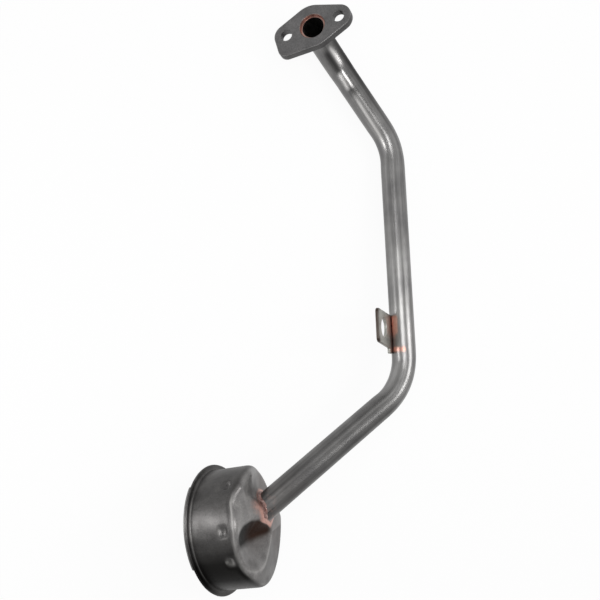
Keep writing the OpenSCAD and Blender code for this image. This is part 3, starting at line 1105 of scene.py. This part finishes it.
@dataclass
class Cup:
    """The deep-drawn cup: turned-out rim, staked wall, facet and dished end."""

    route: Route
    sheet: float = 1.5
    wall_r: float = 41.5
    rim_r: float = 45.1
    rim_fillet: float = 1.6
    height: float = 38.0
    shoulder: float = 5.0
    crown: float = 38.4
    facets: tuple[Facet, ...] = (Facet(40.75, 12.3, 128.0), Facet(38.6, 14.0, -40.0))
    inlet: Facet = Facet(45.7, 36.3, 57.5)
    ledge: Facet = Facet(33.2, 10.5, 0.0)
    blend: float = 0.9
    spout_at: Span = (16.2, 13.0)
    spout_clock: float = 32.5
    lean: float = 53.0
    roll: float = -109.0
    dish_depth: float = 9.5
    dish_at: Span = (-12.0, -5.0)
    dish_turns: Row = (-2, 8, 25, 46, 95, 134, 156, 168, 195, 221, 242, 275, 303, 328)
    dish_reach: Row = (24.5, 19.5, 13.6, 11.2, 11.0, 16, 22.8, 26.3, 26.9, 26.3, 24.3, 20.4, 18.8,
                       19.8)
    dish_round: float = 540.0  # A turn and a half either way, so that the easing meets no end
    dish_step: float = 2.0
    dish_ease: float = 8.0
    dish_ease_end: float = 20.0
    dish_edge: float = 0.05
    dish_soft: Ramp = Ramp(-2.0, 6.0, 0.1)
    dish_power: float = 1.5
    wave_at: Row = (60, 90, 100, 119, 127, 136, 146, 155, 163, 174, 187, 201, 217, 231, 245, 265)
    wave: Row = (0, 2.5, 4, 4.4, 4.6, 1.6, 0.2, 1.2, 1.4, 0.5, -1.5, -3.0, -3.8, -3.0, -1.5, 0)
    wave_in: Ramp = Ramp(24.0, 41.0)
    stakes: Row = (126.7, 172.5, 202.2)
    stake_w: float = 7.5
    stake_h: float = 6.5
    stake_z: float = 23.0
    stake_depth: float = 2.3
    stake_left: Ramp = Ramp(0.72, 1.0)
    stake_right: Ramp = Ramp(0.35, 1.15)
    stake_ends: Ramp = Ramp(0.55, 1.1)
    around: int = 288
    rows: tuple[int, ...] = (4, 6, 34, 9, 60)  # On rim, fillet, wall, shoulder and end
    core_r: float = 0.7
    sharp: float = 55.0
    hole_r: float = 9.675
    gap: float = 0.15
    bore_r: float = 8.0
    bore_sides: int = 64
    bore_in: float = 3.2
    bore_out: float = 60.0
    lip: float = 0.3
    ease_rounds: int = 5
    ease_share: float = 0.45
    search: float = 30.0
    search_step: float = 0.05
    marks: CupMarks = CupMarks()

    def frame(self) -> np.ndarray:
        """Give the cup's frame: rim seat at Z = 0, mouth down."""
        m = self.route.at(self.route.length(), twisted=True)
        m = m @ turn("Z", self.roll) @ turn("Y", 180 - self.lean) @ turn("Z", -self.spout_clock)
        return m @ shift(-self.spout_at[0], -self.spout_at[1], -self.height)

    def spout(self) -> tuple[np.ndarray, np.ndarray]:
        """Give a point on the tube's axis and its way out, in the cup's frame."""
        a, b = math.radians(self.lean), math.radians(self.spout_clock)
        way = np.array([math.sin(a) * math.cos(b), math.sin(a) * math.sin(b), math.cos(a)])
        return np.array([*self.spout_at, self.height]), way

    def end(self, x: np.ndarray, y: np.ndarray) -> np.ndarray:
        """Give the height of the end over the rim's seat.

        Args:
            x: Places across the cup.
            y: Places across the cup.

        Returns:
            Heights of the outer skin.
        """
        soft = self.blend
        behind = soft * np.logaddexp(self.inlet.at(x, y) / soft, self.ledge.at(x, y) / soft)
        planes = [np.full(np.shape(x), self.crown), behind, *(f.at(x, y) for f in self.facets)]
        top = -soft * np.log(sum(np.exp(-p / soft) for p in planes))
        around = np.degrees(np.arctan2(y, x)) % 360
        top += np.interp(around, self.wave_at, self.wave) * self.wave_in.up(np.hypot(x, y))
        u, rise = self.bowl(x, y)
        edge = self.dish_edge + self.dish_soft.up(rise)
        return top - self.dish_depth * edge * np.logaddexp(0.0, (1 - u ** self.dish_power) / edge)

    def bowl(self, x: np.ndarray, y: np.ndarray) -> tuple[np.ndarray, np.ndarray]:
        """Give the place in the dish: 1 on its rim, and how far it is past the middle."""
        dx, dy = x - self.dish_at[0], y - self.dish_at[1]
        step, stop = self.dish_step, self.dish_ease_end
        grid = np.arange(-self.dish_round, self.dish_round, step)
        rough = np.interp(grid, self.dish_turns, self.dish_reach, period=360)
        ease = Bell(0.0, self.dish_ease).at(np.arange(-stop, stop + step / 2, step))
        even = np.convolve(rough, ease / ease.sum(), mode="same")
        return np.hypot(dx, dy) / np.interp(np.degrees(np.arctan2(dy, dx)), grid, even), dy

    def arms(self, angle: np.ndarray) -> np.ndarray:
        """Give unit arms round the tube's axis, in the cup's frame."""
        way = self.spout()[1]
        side = np.cross(way, [0.0, 0.0, 1.0])
        side /= np.linalg.norm(side)
        return np.cos(angle)[:, None] * side + np.sin(angle)[:, None] * np.cross(way, side)

    def entry(self, arms: np.ndarray) -> np.ndarray:
        """Find how far past the spout's point lines along the tube meet the end.

        Args:
            arms: Offsets of the lines from the tube's axis, in the cup's frame.

        Returns:
            Length along the way in, for each line.
        """
        point, way = self.spout()
        steps = np.arange(-self.search, self.search, self.search_step)
        spots = (point + arms)[:, None] - steps[None, :, None] * way
        under = spots[..., 2] <= self.end(spots[..., 0], spots[..., 1])
        return np.where(under.any(axis=1), steps[np.argmax(under, axis=1)], steps[-1])

    def dimples(self, angle: np.ndarray, z: np.ndarray) -> np.ndarray:
        """Give how far the stakes push the wall in."""
        up = np.abs(z - self.stake_z - self.stake_h / 2) / (self.stake_h / 2)
        out = np.zeros(np.broadcast_shapes(np.shape(angle), np.shape(z)))
        for clock in self.stakes:
            across = np.radians(off_clock(angle, clock)) * self.wall_r / (self.stake_w / 2)
            side = np.where(across < 0, self.stake_left.up(-across), self.stake_right.up(across))
            out += self.stake_depth * (1 - side) * self.stake_ends.down(up)
        return out

    def skin(self) -> np.ndarray:
        """Lay out the outer skin, from the rim's edge to the middle of the end.

        Returns:
            Rows of points, one row for each step along the section.
        """
        angle = circle(self.around)
        c, s = np.cos(angle), np.sin(angle)
        edge_r, round_r, fillet = self.wall_r, self.shoulder, self.rim_fillet
        inner_r = edge_r - round_r
        near = self.end(inner_r * c, inner_r * s)
        fall = (self.end(edge_r * c, edge_r * s) - near) / round_r
        middle = near - round_r * np.sqrt(1 + fall * fall)
        top = np.arctan2(1.0, -fall)
        bend_r, bend_z = edge_r + fillet, self.sheet + fillet
        rim, bend, wall, shoulder, end = (np.linspace(0, 1, n) for n in self.rows)
        rows = [polar(angle, self.rim_r + (bend_r - self.rim_r) * t, self.sheet) for t in rim[:-1]]
        for a in np.radians(270 - 90 * bend):
            rows.append(polar(angle, bend_r + fillet * math.cos(a), bend_z + fillet * math.sin(a)))
        first = len(rows)
        for t in wall[1:]:
            z = bend_z + (middle - bend_z) * t
            rows.append(polar(angle, edge_r - self.dimples(angle, z), z))
        for t in shoulder[1:]:
            r, z = inner_r + round_r * np.cos(top * t), middle + round_r * np.sin(top * t)
            rows.append(polar(angle, r, z))
        start = inner_r + round_r * np.cos(top)
        for t in end[1:]:
            r = start + (self.core_r - start) * t
            rows.append(polar(angle, r, self.end(r * c, r * s)))
        return self.eased(np.array(rows), first)

    def eased(self, grid: np.ndarray, first: int) -> np.ndarray:
        """Ease the shoulder's creases by averaging along and round the section."""
        out = grid.copy()
        last = len(grid) - 2
        for _ in range(self.ease_rounds):
            mean = (out[first - 1:last - 1] + out[first + 1:last + 1] + np.roll(out, 1, 1)[first:last]
                    + np.roll(out, -1, 1)[first:last]) / 4
            out[first:last] = (1 - self.ease_share) * out[first:last] + self.ease_share * mean
        return out

    @staticmethod
    def normals(grid: np.ndarray) -> np.ndarray:
        """Give unit normals of the skin, pointing out of the cup."""
        along = np.gradient(grid, axis=0)
        around = np.roll(grid, -1, 1) - np.roll(grid, 1, 1)
        n = np.cross(around, along)
        return n / np.maximum(np.linalg.norm(n, axis=2, keepdims=True), TINY)

    def build(self, material: Material) -> Piece:
        """Make the shell, cut its tube hole and mark its copper, heat tint, painted shade and painted
        highlights.

        Args:
            material: Finish of the cup.

        Returns:
            The cup's object.
        """
        grid = self.skin()
        inner = grid - self.normals(grid) * self.sheet
        lip = (grid[0] + inner[0]) / 2
        lip[:, :2] *= 1 + self.lip / self.rim_r
        rows = np.concatenate([inner[::-1], lip[None], grid])
        n, count = self.around, len(rows)
        points = np.concatenate([rows.reshape(-1, 3), inner[-1].mean(0)[None], grid[-1].mean(0)[None]])
        faces = grid_faces(count, n)
        for base, tip in ((0, count * n), ((count - 1) * n, count * n + 1)):
            faces += [(base + j, base + (j + 1) % n, tip) for j in range(n)]
        m = self.frame()
        piece = make_piece("pickup_cup_visual", moved(m, points), faces, material, self.sharp)
        self.pierce(piece)
        local = moved(np.linalg.inv(m), points_of(piece))
        for name, mark in (("copper", self.copper), ("tint", self.heat), ("scale_and_shade", self.scale_and_painted_shade)):
            store(piece, name, mark(local))
        normal = np.empty(local.size, dtype=np.float32)
        piece.data.vertices.foreach_get("normal", normal)
        store(piece, "painted_highlight", self.painted_highlight(local, normal.reshape(-1, 3) @ m[:3, :3]))
        return declare(piece, Slot.CUP, "pickup_cup")

    def pierce(self, piece: Piece) -> None:
        """Cut the tube's hole through the skin."""
        point, way = self.spout()
        n = self.bore_sides
        ring = self.bore_r * self.arms(circle(n))
        deep = self.entry(ring)[:, None] + self.bore_in
        points = np.concatenate([point - way * deep + ring, point + way * self.bore_out + ring,
                                 [point - way * deep.mean()]])
        faces = grid_faces(2, n) + [(j, (j + 1) % n, 2 * n) for j in range(n)]
        faces.append(tuple(range(2 * n - 1, n - 1, -1)))
        cutter = make_piece("spout_cutter", moved(self.frame(), points), faces, piece.data.materials[0])
        cut = piece.modifiers.new("spout", "BOOLEAN")
        cut.operation, cut.solver, cut.object = "DIFFERENCE", "EXACT", cutter
        mesh = baked(piece)
        piece.modifiers.remove(cut)
        piece.data = mesh
        mesh.set_sharp_from_angle(angle=math.radians(self.sharp))
        bpy.data.objects.remove(cutter)

    def spread(self, local: np.ndarray) -> np.ndarray:
        """Give each point's distance from the tube's surface."""
        point, way = self.spout()
        off = local - point
        return np.linalg.norm(off - (off @ way)[:, None] * way, axis=1) - (self.hole_r - self.gap)

    def copper(self, local: np.ndarray) -> np.ndarray:
        """Give the copper wash round the tube, widest where it ran down the end."""
        k, (x, y, z) = self.marks, local.T
        full, none = k.copper_gap
        ring = Ramp(full, none - k.copper_thin.up(x)).down(self.spread(local))
        near = ring * k.copper_rim.up(self.bowl(x, y)[0])
        return np.clip(near + k.run_x.at(x) * k.run_y.at(y), 0, 1) * k.copper_z.up(z)

    def heat(self, local: np.ndarray) -> np.ndarray:
        """Give the brown heat tint round the tube and painted shade on the dish's steep side beside it.
        """
        k, (x, y, z) = self.marks, local.T
        halo = k.halo.down(self.spread(local))
        total = self.painted_dish_shade(local) * k.shade_x.up(x) + halo + k.side_x.up(x) * k.side_y.up(y)
        return np.clip(total, 0, k.most) * k.tint_z.up(z)

    def painted_dish_shade(self, local: np.ndarray) -> np.ndarray:
        """Give the painted shade on the dish's steep side."""
        u, rise = self.bowl(local[:, 0], local[:, 1])
        return self.marks.gloom_y.up(rise) * self.marks.gloom_rim.down(u)

    def scale_and_painted_shade(self, local: np.ndarray) -> np.ndarray:
        """Give scaling and painted shade: thin on the wall, thick on its lower side and in the dish."""
        k, (x, y, z) = self.marks, local.T
        clock = np.degrees(np.arctan2(y, x)) % 360
        # Painted shade on the lower wall; the band near 163 degrees is a painted highlight
        share = k.wall_darkening + k.wall_dark.at(clock) - k.wall_light.at(clock)
        beside = k.wall_r.up(np.hypot(x, y))
        wall = np.maximum(beside, k.wall_z.down(z)) * np.clip(share, 0, k.wall_most)
        u, rise = self.bowl(x, y)
        # Painted shade beyond the dish's lower rim and on its floor
        beyond = k.beyond_rim.up(u) * (rise < k.beyond_y) * k.beyond_x.up(x)
        floor = k.floor_rim.down(u) + k.most * self.painted_dish_shade(local)
        return np.maximum(wall, np.clip(beyond + floor, 0, k.most) * (1 - beside))

    def painted_highlight(self, local: np.ndarray, normal: np.ndarray) -> np.ndarray:
        """Give the painted highlight lines along the shoulder's near side and the dish's rim."""
        k, (x, y, _) = self.marks, local.T
        clock = np.degrees(np.arctan2(y, x)) % 360
        side = k.highlight_start.up(clock) * k.highlight_stop.down(clock) * (np.hypot(x, y) > k.highlight_r)
        u, rise = self.bowl(x, y)
        return np.maximum(k.highlight_tilt.at(normal[:, 2]) * side, k.ridge.at(u) * (rise < k.ridge_y))


@dataclass
class Strainer:
    """The strainer's lipped frame with its lugs, and the wire cloth in it."""

    cup: Cup
    thick: float = 1.4
    skirt_r: float = 39.7
    skirt_h: float = 21.7
    lip_r: float = 34.0
    lug_r: float = 45.1
    lug_span: float = 80.0
    lug_turn: float = 165.0
    lugs: int = 3
    around: int = 360
    pitch: float = 2.5
    wire_d: float = 0.9
    cloth_r: float = 37.9
    lug_ease: Ramp = Ramp(-2.6, 0.4)
    proud: float = 0.05
    wire_sides: int = 6
    wire_steps: int = 5  # Points along a wire in each pitch

    def edge(self, angle: np.ndarray) -> np.ndarray:
        """Give the plate's outer radius round the frame."""
        pitch = 360.0 / self.lugs
        off = np.abs((np.degrees(angle) - self.lug_turn + pitch / 2) % pitch - pitch / 2)
        inside = self.lug_ease.down(off - self.lug_span / 2)
        return self.skirt_r + self.proud + (self.lug_r - self.skirt_r - self.proud) * inside

    def build_frame(self, material: Material) -> Piece:
        """Make the pressed frame: lip, skirt and lugs in one sheet.

        Args:
            material: Finish of the frame.

        Returns:
            The frame's object.
        """
        a, t, r, lip, top = circle(self.around), self.thick, self.skirt_r, self.lip_r, self.skirt_h
        out, bore = self.edge(a), self.skirt_r - self.thick
        # Radii and heights round the sheet's section, with its small roundings
        section = [(lip, 0.3 - t), (lip + 0.3, -t), (out - 0.35, -t), (out, 0.35 - t), (out, -0.3),
                   (np.maximum(out - 0.3, r + 0.02), -0.02), (r + 0.01, -0.01), (r, 0.4),
                   (r, top - 0.3), (r - 0.3, top), (bore + 0.3, top), (bore, top - 0.3), (bore, 1.0),
                   (bore - 0.3, 0.3), (bore - 1.0, 0.0), (lip + 0.3, 0.0), (lip, -0.3)]
        points = np.concatenate([polar(a, radius, z) for radius, z in section])
        faces = grid_faces(len(section), self.around, True)
        points = moved(self.cup.frame(), points)
        piece = make_piece("screen_frame_visual", points, faces, material, sharp=35)
        return declare(piece, Slot.FRAME, "screen_frame")

    def weave(self) -> tuple[bpy.types.GeometryNodeTree, dict[str, str]]:
        """Build the node tree that weaves the wires.

        Returns:
            The tree, and the identifier of each named input.
        """
        tree = bpy.data.node_groups.new("wire_cloth", "GeometryNodeTree")
        kinds = {"Pitch": "Float", "Wire Radius": "Float", "Cloth Radius": "Float", "Wires": "Int",
                 "Steps": "Int", "Material": "Material"}
        face = tree.interface
        keys = {name: face.new_socket(name, in_out="INPUT", socket_type="NodeSocket" + kind).identifier
                for name, kind in kinds.items()}
        face.new_socket("Geometry", in_out="OUTPUT", socket_type="NodeSocketGeometry")
        given = add(tree, "NodeGroupInput").outputs
        pitch, reach, wire = given["Pitch"], given["Cloth Radius"], given["Wire Radius"]
        place = add(tree, "GeometryNodeInputPosition").outputs[0]

        def along(axis: str, length: Socket) -> Socket:
            """Give a vector along an axis."""
            return add(tree, "ShaderNodeCombineXYZ", {axis: length}).outputs[0]

        def geometry(kind: str, **inputs: Socket | Place | int | bool) -> Socket:
            """Add a geometry node and give its geometry."""
            named = {key.replace("_", " "): value for key, value in inputs.items()}
            return add(tree, "GeometryNode" + kind, named).outputs[0]

        turns = calc(tree, "DIVIDE", add(tree, "ShaderNodeSeparateXYZ", {0: place}).outputs["X"], pitch)
        wave = calc(tree, "COSINE", calc(tree, "MULTIPLY", turns, math.pi))
        line = geometry("CurvePrimitiveLine", Start=along("X", calc(tree, "MULTIPLY", reach, -1.0)),
                        End=along("X", reach))
        fine = geometry("ResampleCurve", Curve=line, Count=given["Steps"])
        gap = along("Y", calc(tree, "MULTIPLY", pitch, 2.0))
        joined = add(tree, "GeometryNodeJoinGeometry")
        for side, odd in itertools.product((0, 1), repeat=2):
            high = calc(tree, "MULTIPLY", wire, 1.0 if side == odd else -1.0)
            lift = along("Z", calc(tree, "MULTIPLY", wave, high))
            bent = geometry("SetPosition", Geometry=fine, Offset=lift)
            first = calc(tree, "MULTIPLY_ADD", given["Wires"], -1.0, float(odd))
            rail = geometry("MeshLine", Count=given["Wires"], Offset=gap,
                            Start_Location=along("Y", calc(tree, "MULTIPLY", first, pitch)))
            laid = geometry("InstanceOnPoints", Points=rail, Instance=bent)
            layer = geometry("Transform", Geometry=laid, Rotation=(0.0, 0.0, side * math.pi / 2))
            tree.links.new(layer, joined.inputs[0])
        real = geometry("RealizeInstances", Geometry=joined.outputs[0])
        spot = add(tree, "ShaderNodeVectorMath", {0: place, 1: (1.0, 1.0, 0.0)}, operation="MULTIPLY")
        far = add(tree, "ShaderNodeVectorMath", {0: spot.outputs[0]}, operation="LENGTH")
        over = add(tree, "FunctionNodeCompare", {0: far.outputs["Value"], 1: reach},
                   operation="GREATER_THAN")
        cut = geometry("DeleteGeometry", Geometry=real, Selection=over.outputs[0])
        ring = geometry("CurvePrimitiveCircle", Resolution=self.wire_sides, Radius=wire)
        wires = geometry("CurveToMesh", Curve=cut, Profile_Curve=ring, Fill_Caps=True)
        solid = geometry("RealizeInstances", Geometry=wires)
        done = geometry("SetMaterial", Geometry=solid, Material=given["Material"])
        add(tree, "NodeGroupOutput", {0: done})
        return tree, keys

    def build_cloth(self, material: Material) -> Piece:
        """Weave the wire cloth and set it in the frame.

        Args:
            material: Finish of the wires.

        Returns:
            The cloth's object.
        """
        tree, keys = self.weave()
        half = int(self.cloth_r / self.pitch) // 2 * 2
        seed = bpy.data.objects.new("cloth_seed", bpy.data.meshes.new("cloth_seed"))
        bpy.context.scene.collection.objects.link(seed)
        mod = seed.modifiers.new("weave", "NODES")
        mod.node_group = tree
        wanted = {"Pitch": self.pitch * MM, "Wire Radius": self.wire_d / 2 * MM,
                  "Cloth Radius": self.cloth_r * MM, "Wires": half + 1,
                  "Steps": int(self.cloth_r * 2 / self.pitch * self.wire_steps), "Material": material}
        for name, value in wanted.items():
            mod[keys[name]] = value
        mesh = baked(seed)
        bpy.data.objects.remove(seed)
        place = Matrix(self.cup.frame().tolist())
        place.translation *= MM
        mesh.transform(place @ Matrix.Translation((0, 0, self.wire_d * MM)))
        piece = link_piece("strainer_screen_visual", mesh, material, sharp=70)
        return declare(piece, Slot.WIRE, "strainer_screen")


@dataclass
class Braze:
    """The copper that joins tube, flange, bracket and cup."""

    route: Route
    tube_r: float = 9.525
    sides: int = 120
    run_to: Place = (-0.73, 0.26, 0.63)
    clear: float = 0.12
    sag: float = 3.0
    leg: float = 0.9
    leg_run: float = 2.2
    leg_least: float = 0.2
    shrink: float = 0.75
    head_in: float = 0.27
    head_up: float = 0.8
    knee_up: float = 0.25
    buried: float = 0.5
    tab_legs: Span = (0.55, 1.4)
    tab_steps: int = 48
    tab_least: float = 0.35
    tab_reach: float = 1.3
    tube_reach: float = 1.5
    tab_ease: float = 1.2
    tab_margin: float = 0.4
    crevice_shade: float = 0.85

    def flange_ring(self, flange: Flange, material: Material) -> Piece:
        """Make the ring in the flange's hole, with a meniscus at each end.

        Args:
            flange: The plate that the ring is in.
            material: Finish of the braze.

        Returns:
            The ring's object.
        """
        a = circle(self.sides)
        wobble = 0.18 * np.sin(3 * a + 0.6) + 0.1 * np.sin(7 * a + 2.0)
        r, hole, t = self.tube_r, flange.hole_r, flange.thick
        # Radii and heights round the ring's section
        section = [(r - 0.05, 3.2), (r - 0.05, 2.58), (r + 0.02, 2.5), (hole - 0.03, 2.0),
                   (hole + 0.02, 1.9), (hole + 0.02, t - 0.1), (hole + 1.0 + wobble, t - 0.05),
                   (hole + 1.0 + wobble, t + 0.1),
                   (r + 0.45, t + 0.45), (r + 0.1, t + 1.1 + wobble), (r - 0.05, t + 1.2 + wobble)]
        points = np.concatenate([polar(a, radius, z) for radius, z in section])
        faces = grid_faces(len(section), self.sides, True)
        points = moved(self.route.lying(), points)
        piece = make_piece("flange_braze_visual", points, faces, material, sharp=60)
        return declare(piece, Slot.BRAZE, "flange_braze")

    def cup_fillet(self, cup: Cup, material: Material) -> Piece:
        """Run a fillet along the joint of tube and cup.

        Args:
            cup: The cup's sizes.
            material: Finish of the braze.

        Returns:
            The fillet's object.
        """
        m, (point, way) = cup.frame(), cup.spout()
        out, hole = m[:3, :3] @ way, cup.hole_r + self.clear
        angles, rows = circle(self.sides), []

        def meet(arm: np.ndarray) -> np.ndarray:
            """Give where a line along the tube meets the cup."""
            return moved(m, point + arm - way * cup.entry(arm[None])[0])

        for a, arm in zip(angles, cup.arms(angles)):
            lean = max(0.0, float(arm @ np.array(self.run_to)))
            wobble = 0.15 * math.sin(3 * a + 0.4) + 0.1 * math.sin(5 * a + 1.3)
            grow = self.leg + self.leg_run * lean + wobble
            joint, foot = meet(arm * hole), meet(arm * (hole + grow))
            while grow > self.leg_least and abs((joint - foot) @ out) > self.sag:
                grow *= self.shrink
                foot = meet(arm * (hole + grow))
            away = m[:3, :3] @ arm
            head = joint - away * self.head_in + out * grow * self.head_up
            curve = bezier(head, joint + out * self.knee_up, foot, 7)
            root = joint - out * 0.6 - away * self.buried
            rows.append([head - away * 0.25, *curve, foot - out * self.buried, root])
        grid = np.array(rows).transpose(1, 0, 2)
        faces = grid_faces(len(grid), self.sides, True)
        piece = make_piece("cup_braze_visual", grid.reshape(-1, 3), faces, material, sharp=70)
        return declare(piece, Slot.BRAZE, "cup_braze")

    def tab_fillets(self, bracket: Bracket, material: Material) -> Piece:
        """Run a fillet along each side of the bracket's root.

        Args:
            bracket: The tab's sizes.
            material: Finish of the braze.

        Returns:
            The fillets' object.
        """
        m, r, half = bracket.frame(), self.tube_r, bracket.thick / 2
        low = -bracket.width / 2 + self.tab_margin
        high = bracket.width / 2 + bracket.foot_len - self.tab_margin
        points, faces, base, ease = [], [], 0, Ramp(0.0, self.tab_ease)
        for sign, leg in zip((-1.0, 1.0), self.tab_legs):
            rows, face = [], bracket.offset + sign * half
            for z in np.linspace(low, high, self.tab_steps):
                ends = ease.up(z - low) * ease.up(high - z)
                wobble = 1 + 0.18 * math.sin(z * 1.1) + 0.1 * math.sin(z * 2.7 + 1)
                size = leg * (self.tab_least + (1 - self.tab_least) * ends) * wobble
                corner = np.array([math.sqrt(r ** 2 - face ** 2), face])
                a = math.atan2(face, corner[0]) + sign * size * self.tube_reach / r
                on_tube = r * np.array([math.cos(a), math.sin(a)])
                on_tab = np.array([corner[0] + size * self.tab_reach, face])
                under = face - sign * self.tab_margin
                inner = [on_tube * 0.96, (corner[0] - self.buried, under), (on_tab[0], under)]
                rows.append([(*q, z) for q in bezier(on_tab, corner, on_tube, 6) + inner])
            n, tail = len(rows[0]), (len(rows) - 1) * len(rows[0])
            points += [p for row in rows for p in row]
            ends = [tuple(range(n)), tuple(range(tail, tail + n))]
            faces += [tuple(base + c for c in f) for f in grid_faces(len(rows), n) + ends]
            base += len(rows) * n
        points = moved(m, np.array(points))
        piece = make_piece("bracket_braze_visual", points, faces, material, sharp=60)
        # Painted shade: the near fillet is darkened for the shadowed gap beside the tube
        near = moved(np.linalg.inv(m), points_of(piece))[:, 1] < bracket.offset
        store(piece, "tint", self.crevice_shade * near)
        return declare(piece, Slot.BRAZE, "bracket_braze")


# The studio


@dataclass(frozen=True)
class Lamp:
    """A soft box: where it stands, where it points, its size and its radiance."""

    name: str
    at: Place
    aim: Place
    size: Span
    radiance: float


@dataclass
class Studio:
    """White floor, soft boxes and the camera that looks down on the part."""

    eye: Place = (-0.24521, -0.20939, 0.61609)
    right: Place = (0.93437, -0.00364, 0.35628)
    up: Place = (0.00006, 0.99995, 0.01007)
    lens: float = 53.886
    sensor: float = 36.0
    clip: Span = (0.01, 50.0)
    floor_half: float = 3.0
    floor_gap: float = 0.0002
    floor_glow: float = 0.93
    ambient: float = 0.58
    lamps: tuple[Lamp, ...] = (
        Lamp("left_box", (-0.20, -0.13, 0.62), (0.08, -0.21, 0.0), (0.13, 0.36), 6.5),
        Lamp("right_box", (0.45, -0.17, 0.52), (0.08, -0.21, 0.0), (0.13, 0.32), 6.5),
        Lamp("low_box", (-0.45, -0.235, 0.09), (-0.04, -0.36, 0.03), (0.13, 0.12), 6.0),
        Lamp("top_box", (0.25, 0.75, 0.75), (0.0, -0.2, 0.0), (0.8, 0.35), 2.0),
    )

    def build(self) -> None:
        """Set up camera, lamps, world and floor."""
        scene = bpy.context.scene
        scene.view_settings.view_transform = "Standard"
        self.camera(scene)
        for lamp in self.lamps:
            self.lamp(lamp)
        self.world(scene)
        self.floor()

    def camera(self, scene: bpy.types.Scene) -> None:
        """Place the camera at the photograph's viewing angle."""
        data = bpy.data.cameras.new("camera")
        data.lens, data.sensor_width, data.sensor_fit = self.lens, self.sensor, "HORIZONTAL"
        data.clip_start, data.clip_end = self.clip
        camera = bpy.data.objects.new("camera", data)
        x, y = Vector(self.right).normalized(), Vector(self.up).normalized()
        z = x.cross(y).normalized()
        y = z.cross(x)
        camera.matrix_world = Matrix.Translation(self.eye) @ Matrix((x, y, z)).transposed().to_4x4()
        scene.collection.objects.link(camera)
        scene.camera = camera

    def lamp(self, lamp: Lamp) -> None:
        """Place one soft box."""
        data = bpy.data.lights.new(lamp.name, "AREA")
        data.shape, data.size, data.size_y = "RECTANGLE", lamp.size[0], lamp.size[1]
        data.energy = lamp.radiance * math.pi * lamp.size[0] * lamp.size[1]
        obj = bpy.data.objects.new(lamp.name, data)
        way = (Vector(lamp.aim) - Vector(lamp.at)).to_track_quat("-Z", "Y")
        obj.matrix_world = Matrix.Translation(lamp.at) @ way.to_matrix().to_4x4()
        bpy.context.scene.collection.objects.link(obj)

    def world(self, scene: bpy.types.Scene) -> None:
        """Give even soft light, and white to the camera."""
        world = bpy.data.worlds.new("studio")
        t = empty_tree(world)
        seen = add(t, "ShaderNodeLightPath").outputs["Is Camera Ray"]
        soft, white = (add(t, "ShaderNodeBackground", {"Color": WHITE, "Strength": strength}).outputs[0]
                       for strength in (self.ambient, 1.0))
        mix = add(t, "ShaderNodeMixShader", {0: seen, 1: soft, 2: white})
        add(t, "ShaderNodeOutputWorld", {"Surface": mix.outputs[0]})
        scene.world = world

    def floor(self) -> None:
        """Lay a white floor under the part's lowest point."""
        z, h = CAD_BOX[0][2] - self.floor_gap, self.floor_half
        mesh = bpy.data.meshes.new("floor")
        mesh.from_pydata([(-h, -h, z), (h, -h, z), (h, h, z), (-h, h, z)], [], [(0, 1, 2, 3)])
        # Matt white paper, lit through so that it stays white to the camera
        mat = bpy.data.materials.new("white_paper")
        t = empty_tree(mat)
        path = add(t, "ShaderNodeLightPath").outputs
        seen = calc(t, "MAXIMUM", path["Is Camera Ray"], path["Is Glossy Ray"])
        seen = calc(t, "MAXIMUM", seen, path["Is Transmission Ray"])
        matt = add(t, "ShaderNodeBsdfDiffuse", {"Color": linear("#F4F4F4")})
        glow = add(t, "ShaderNodeEmission", {"Color": WHITE, "Strength": 1.0})
        mix = add(t, "ShaderNodeMixShader", {0: calc(t, "MULTIPLY", seen, self.floor_glow),
                                             1: matt.outputs[0], 2: glow.outputs[0]})
        add(t, "ShaderNodeOutputMaterial", {"Surface": mix.outputs[0]})
        mesh.materials.append(mat)
        floor = bpy.data.objects.new("floor", mesh)
        bpy.context.scene.collection.objects.link(floor)


def main() -> None:
    """Build the studio and each piece in turn."""
    logging.basicConfig(level=logging.INFO, format="%(name)s: %(message)s")
    Studio().build()
    route = Route()
    flange, bracket, cup = Flange(route), Bracket(route), Cup(route)
    Tube(route, cup).build(DRAWN_STEEL.build())
    flange.build(BLANKED_STEEL.build())
    bracket.build(SHEET_STEEL.build())
    cup.build(FURNACED_STEEL.build())
    strainer = Strainer(cup)
    strainer.build_frame(STRIP_STEEL.build())
    strainer.build_cloth(STEEL_WIRE.build())
    copper = COPPER_BRAZE.build()
    braze = Braze(route)
    braze.flange_ring(flange, copper)
    braze.tab_fillets(bracket, copper)
    braze.cup_fillet(cup, copper)


if __name__ == "__main__":
    main()
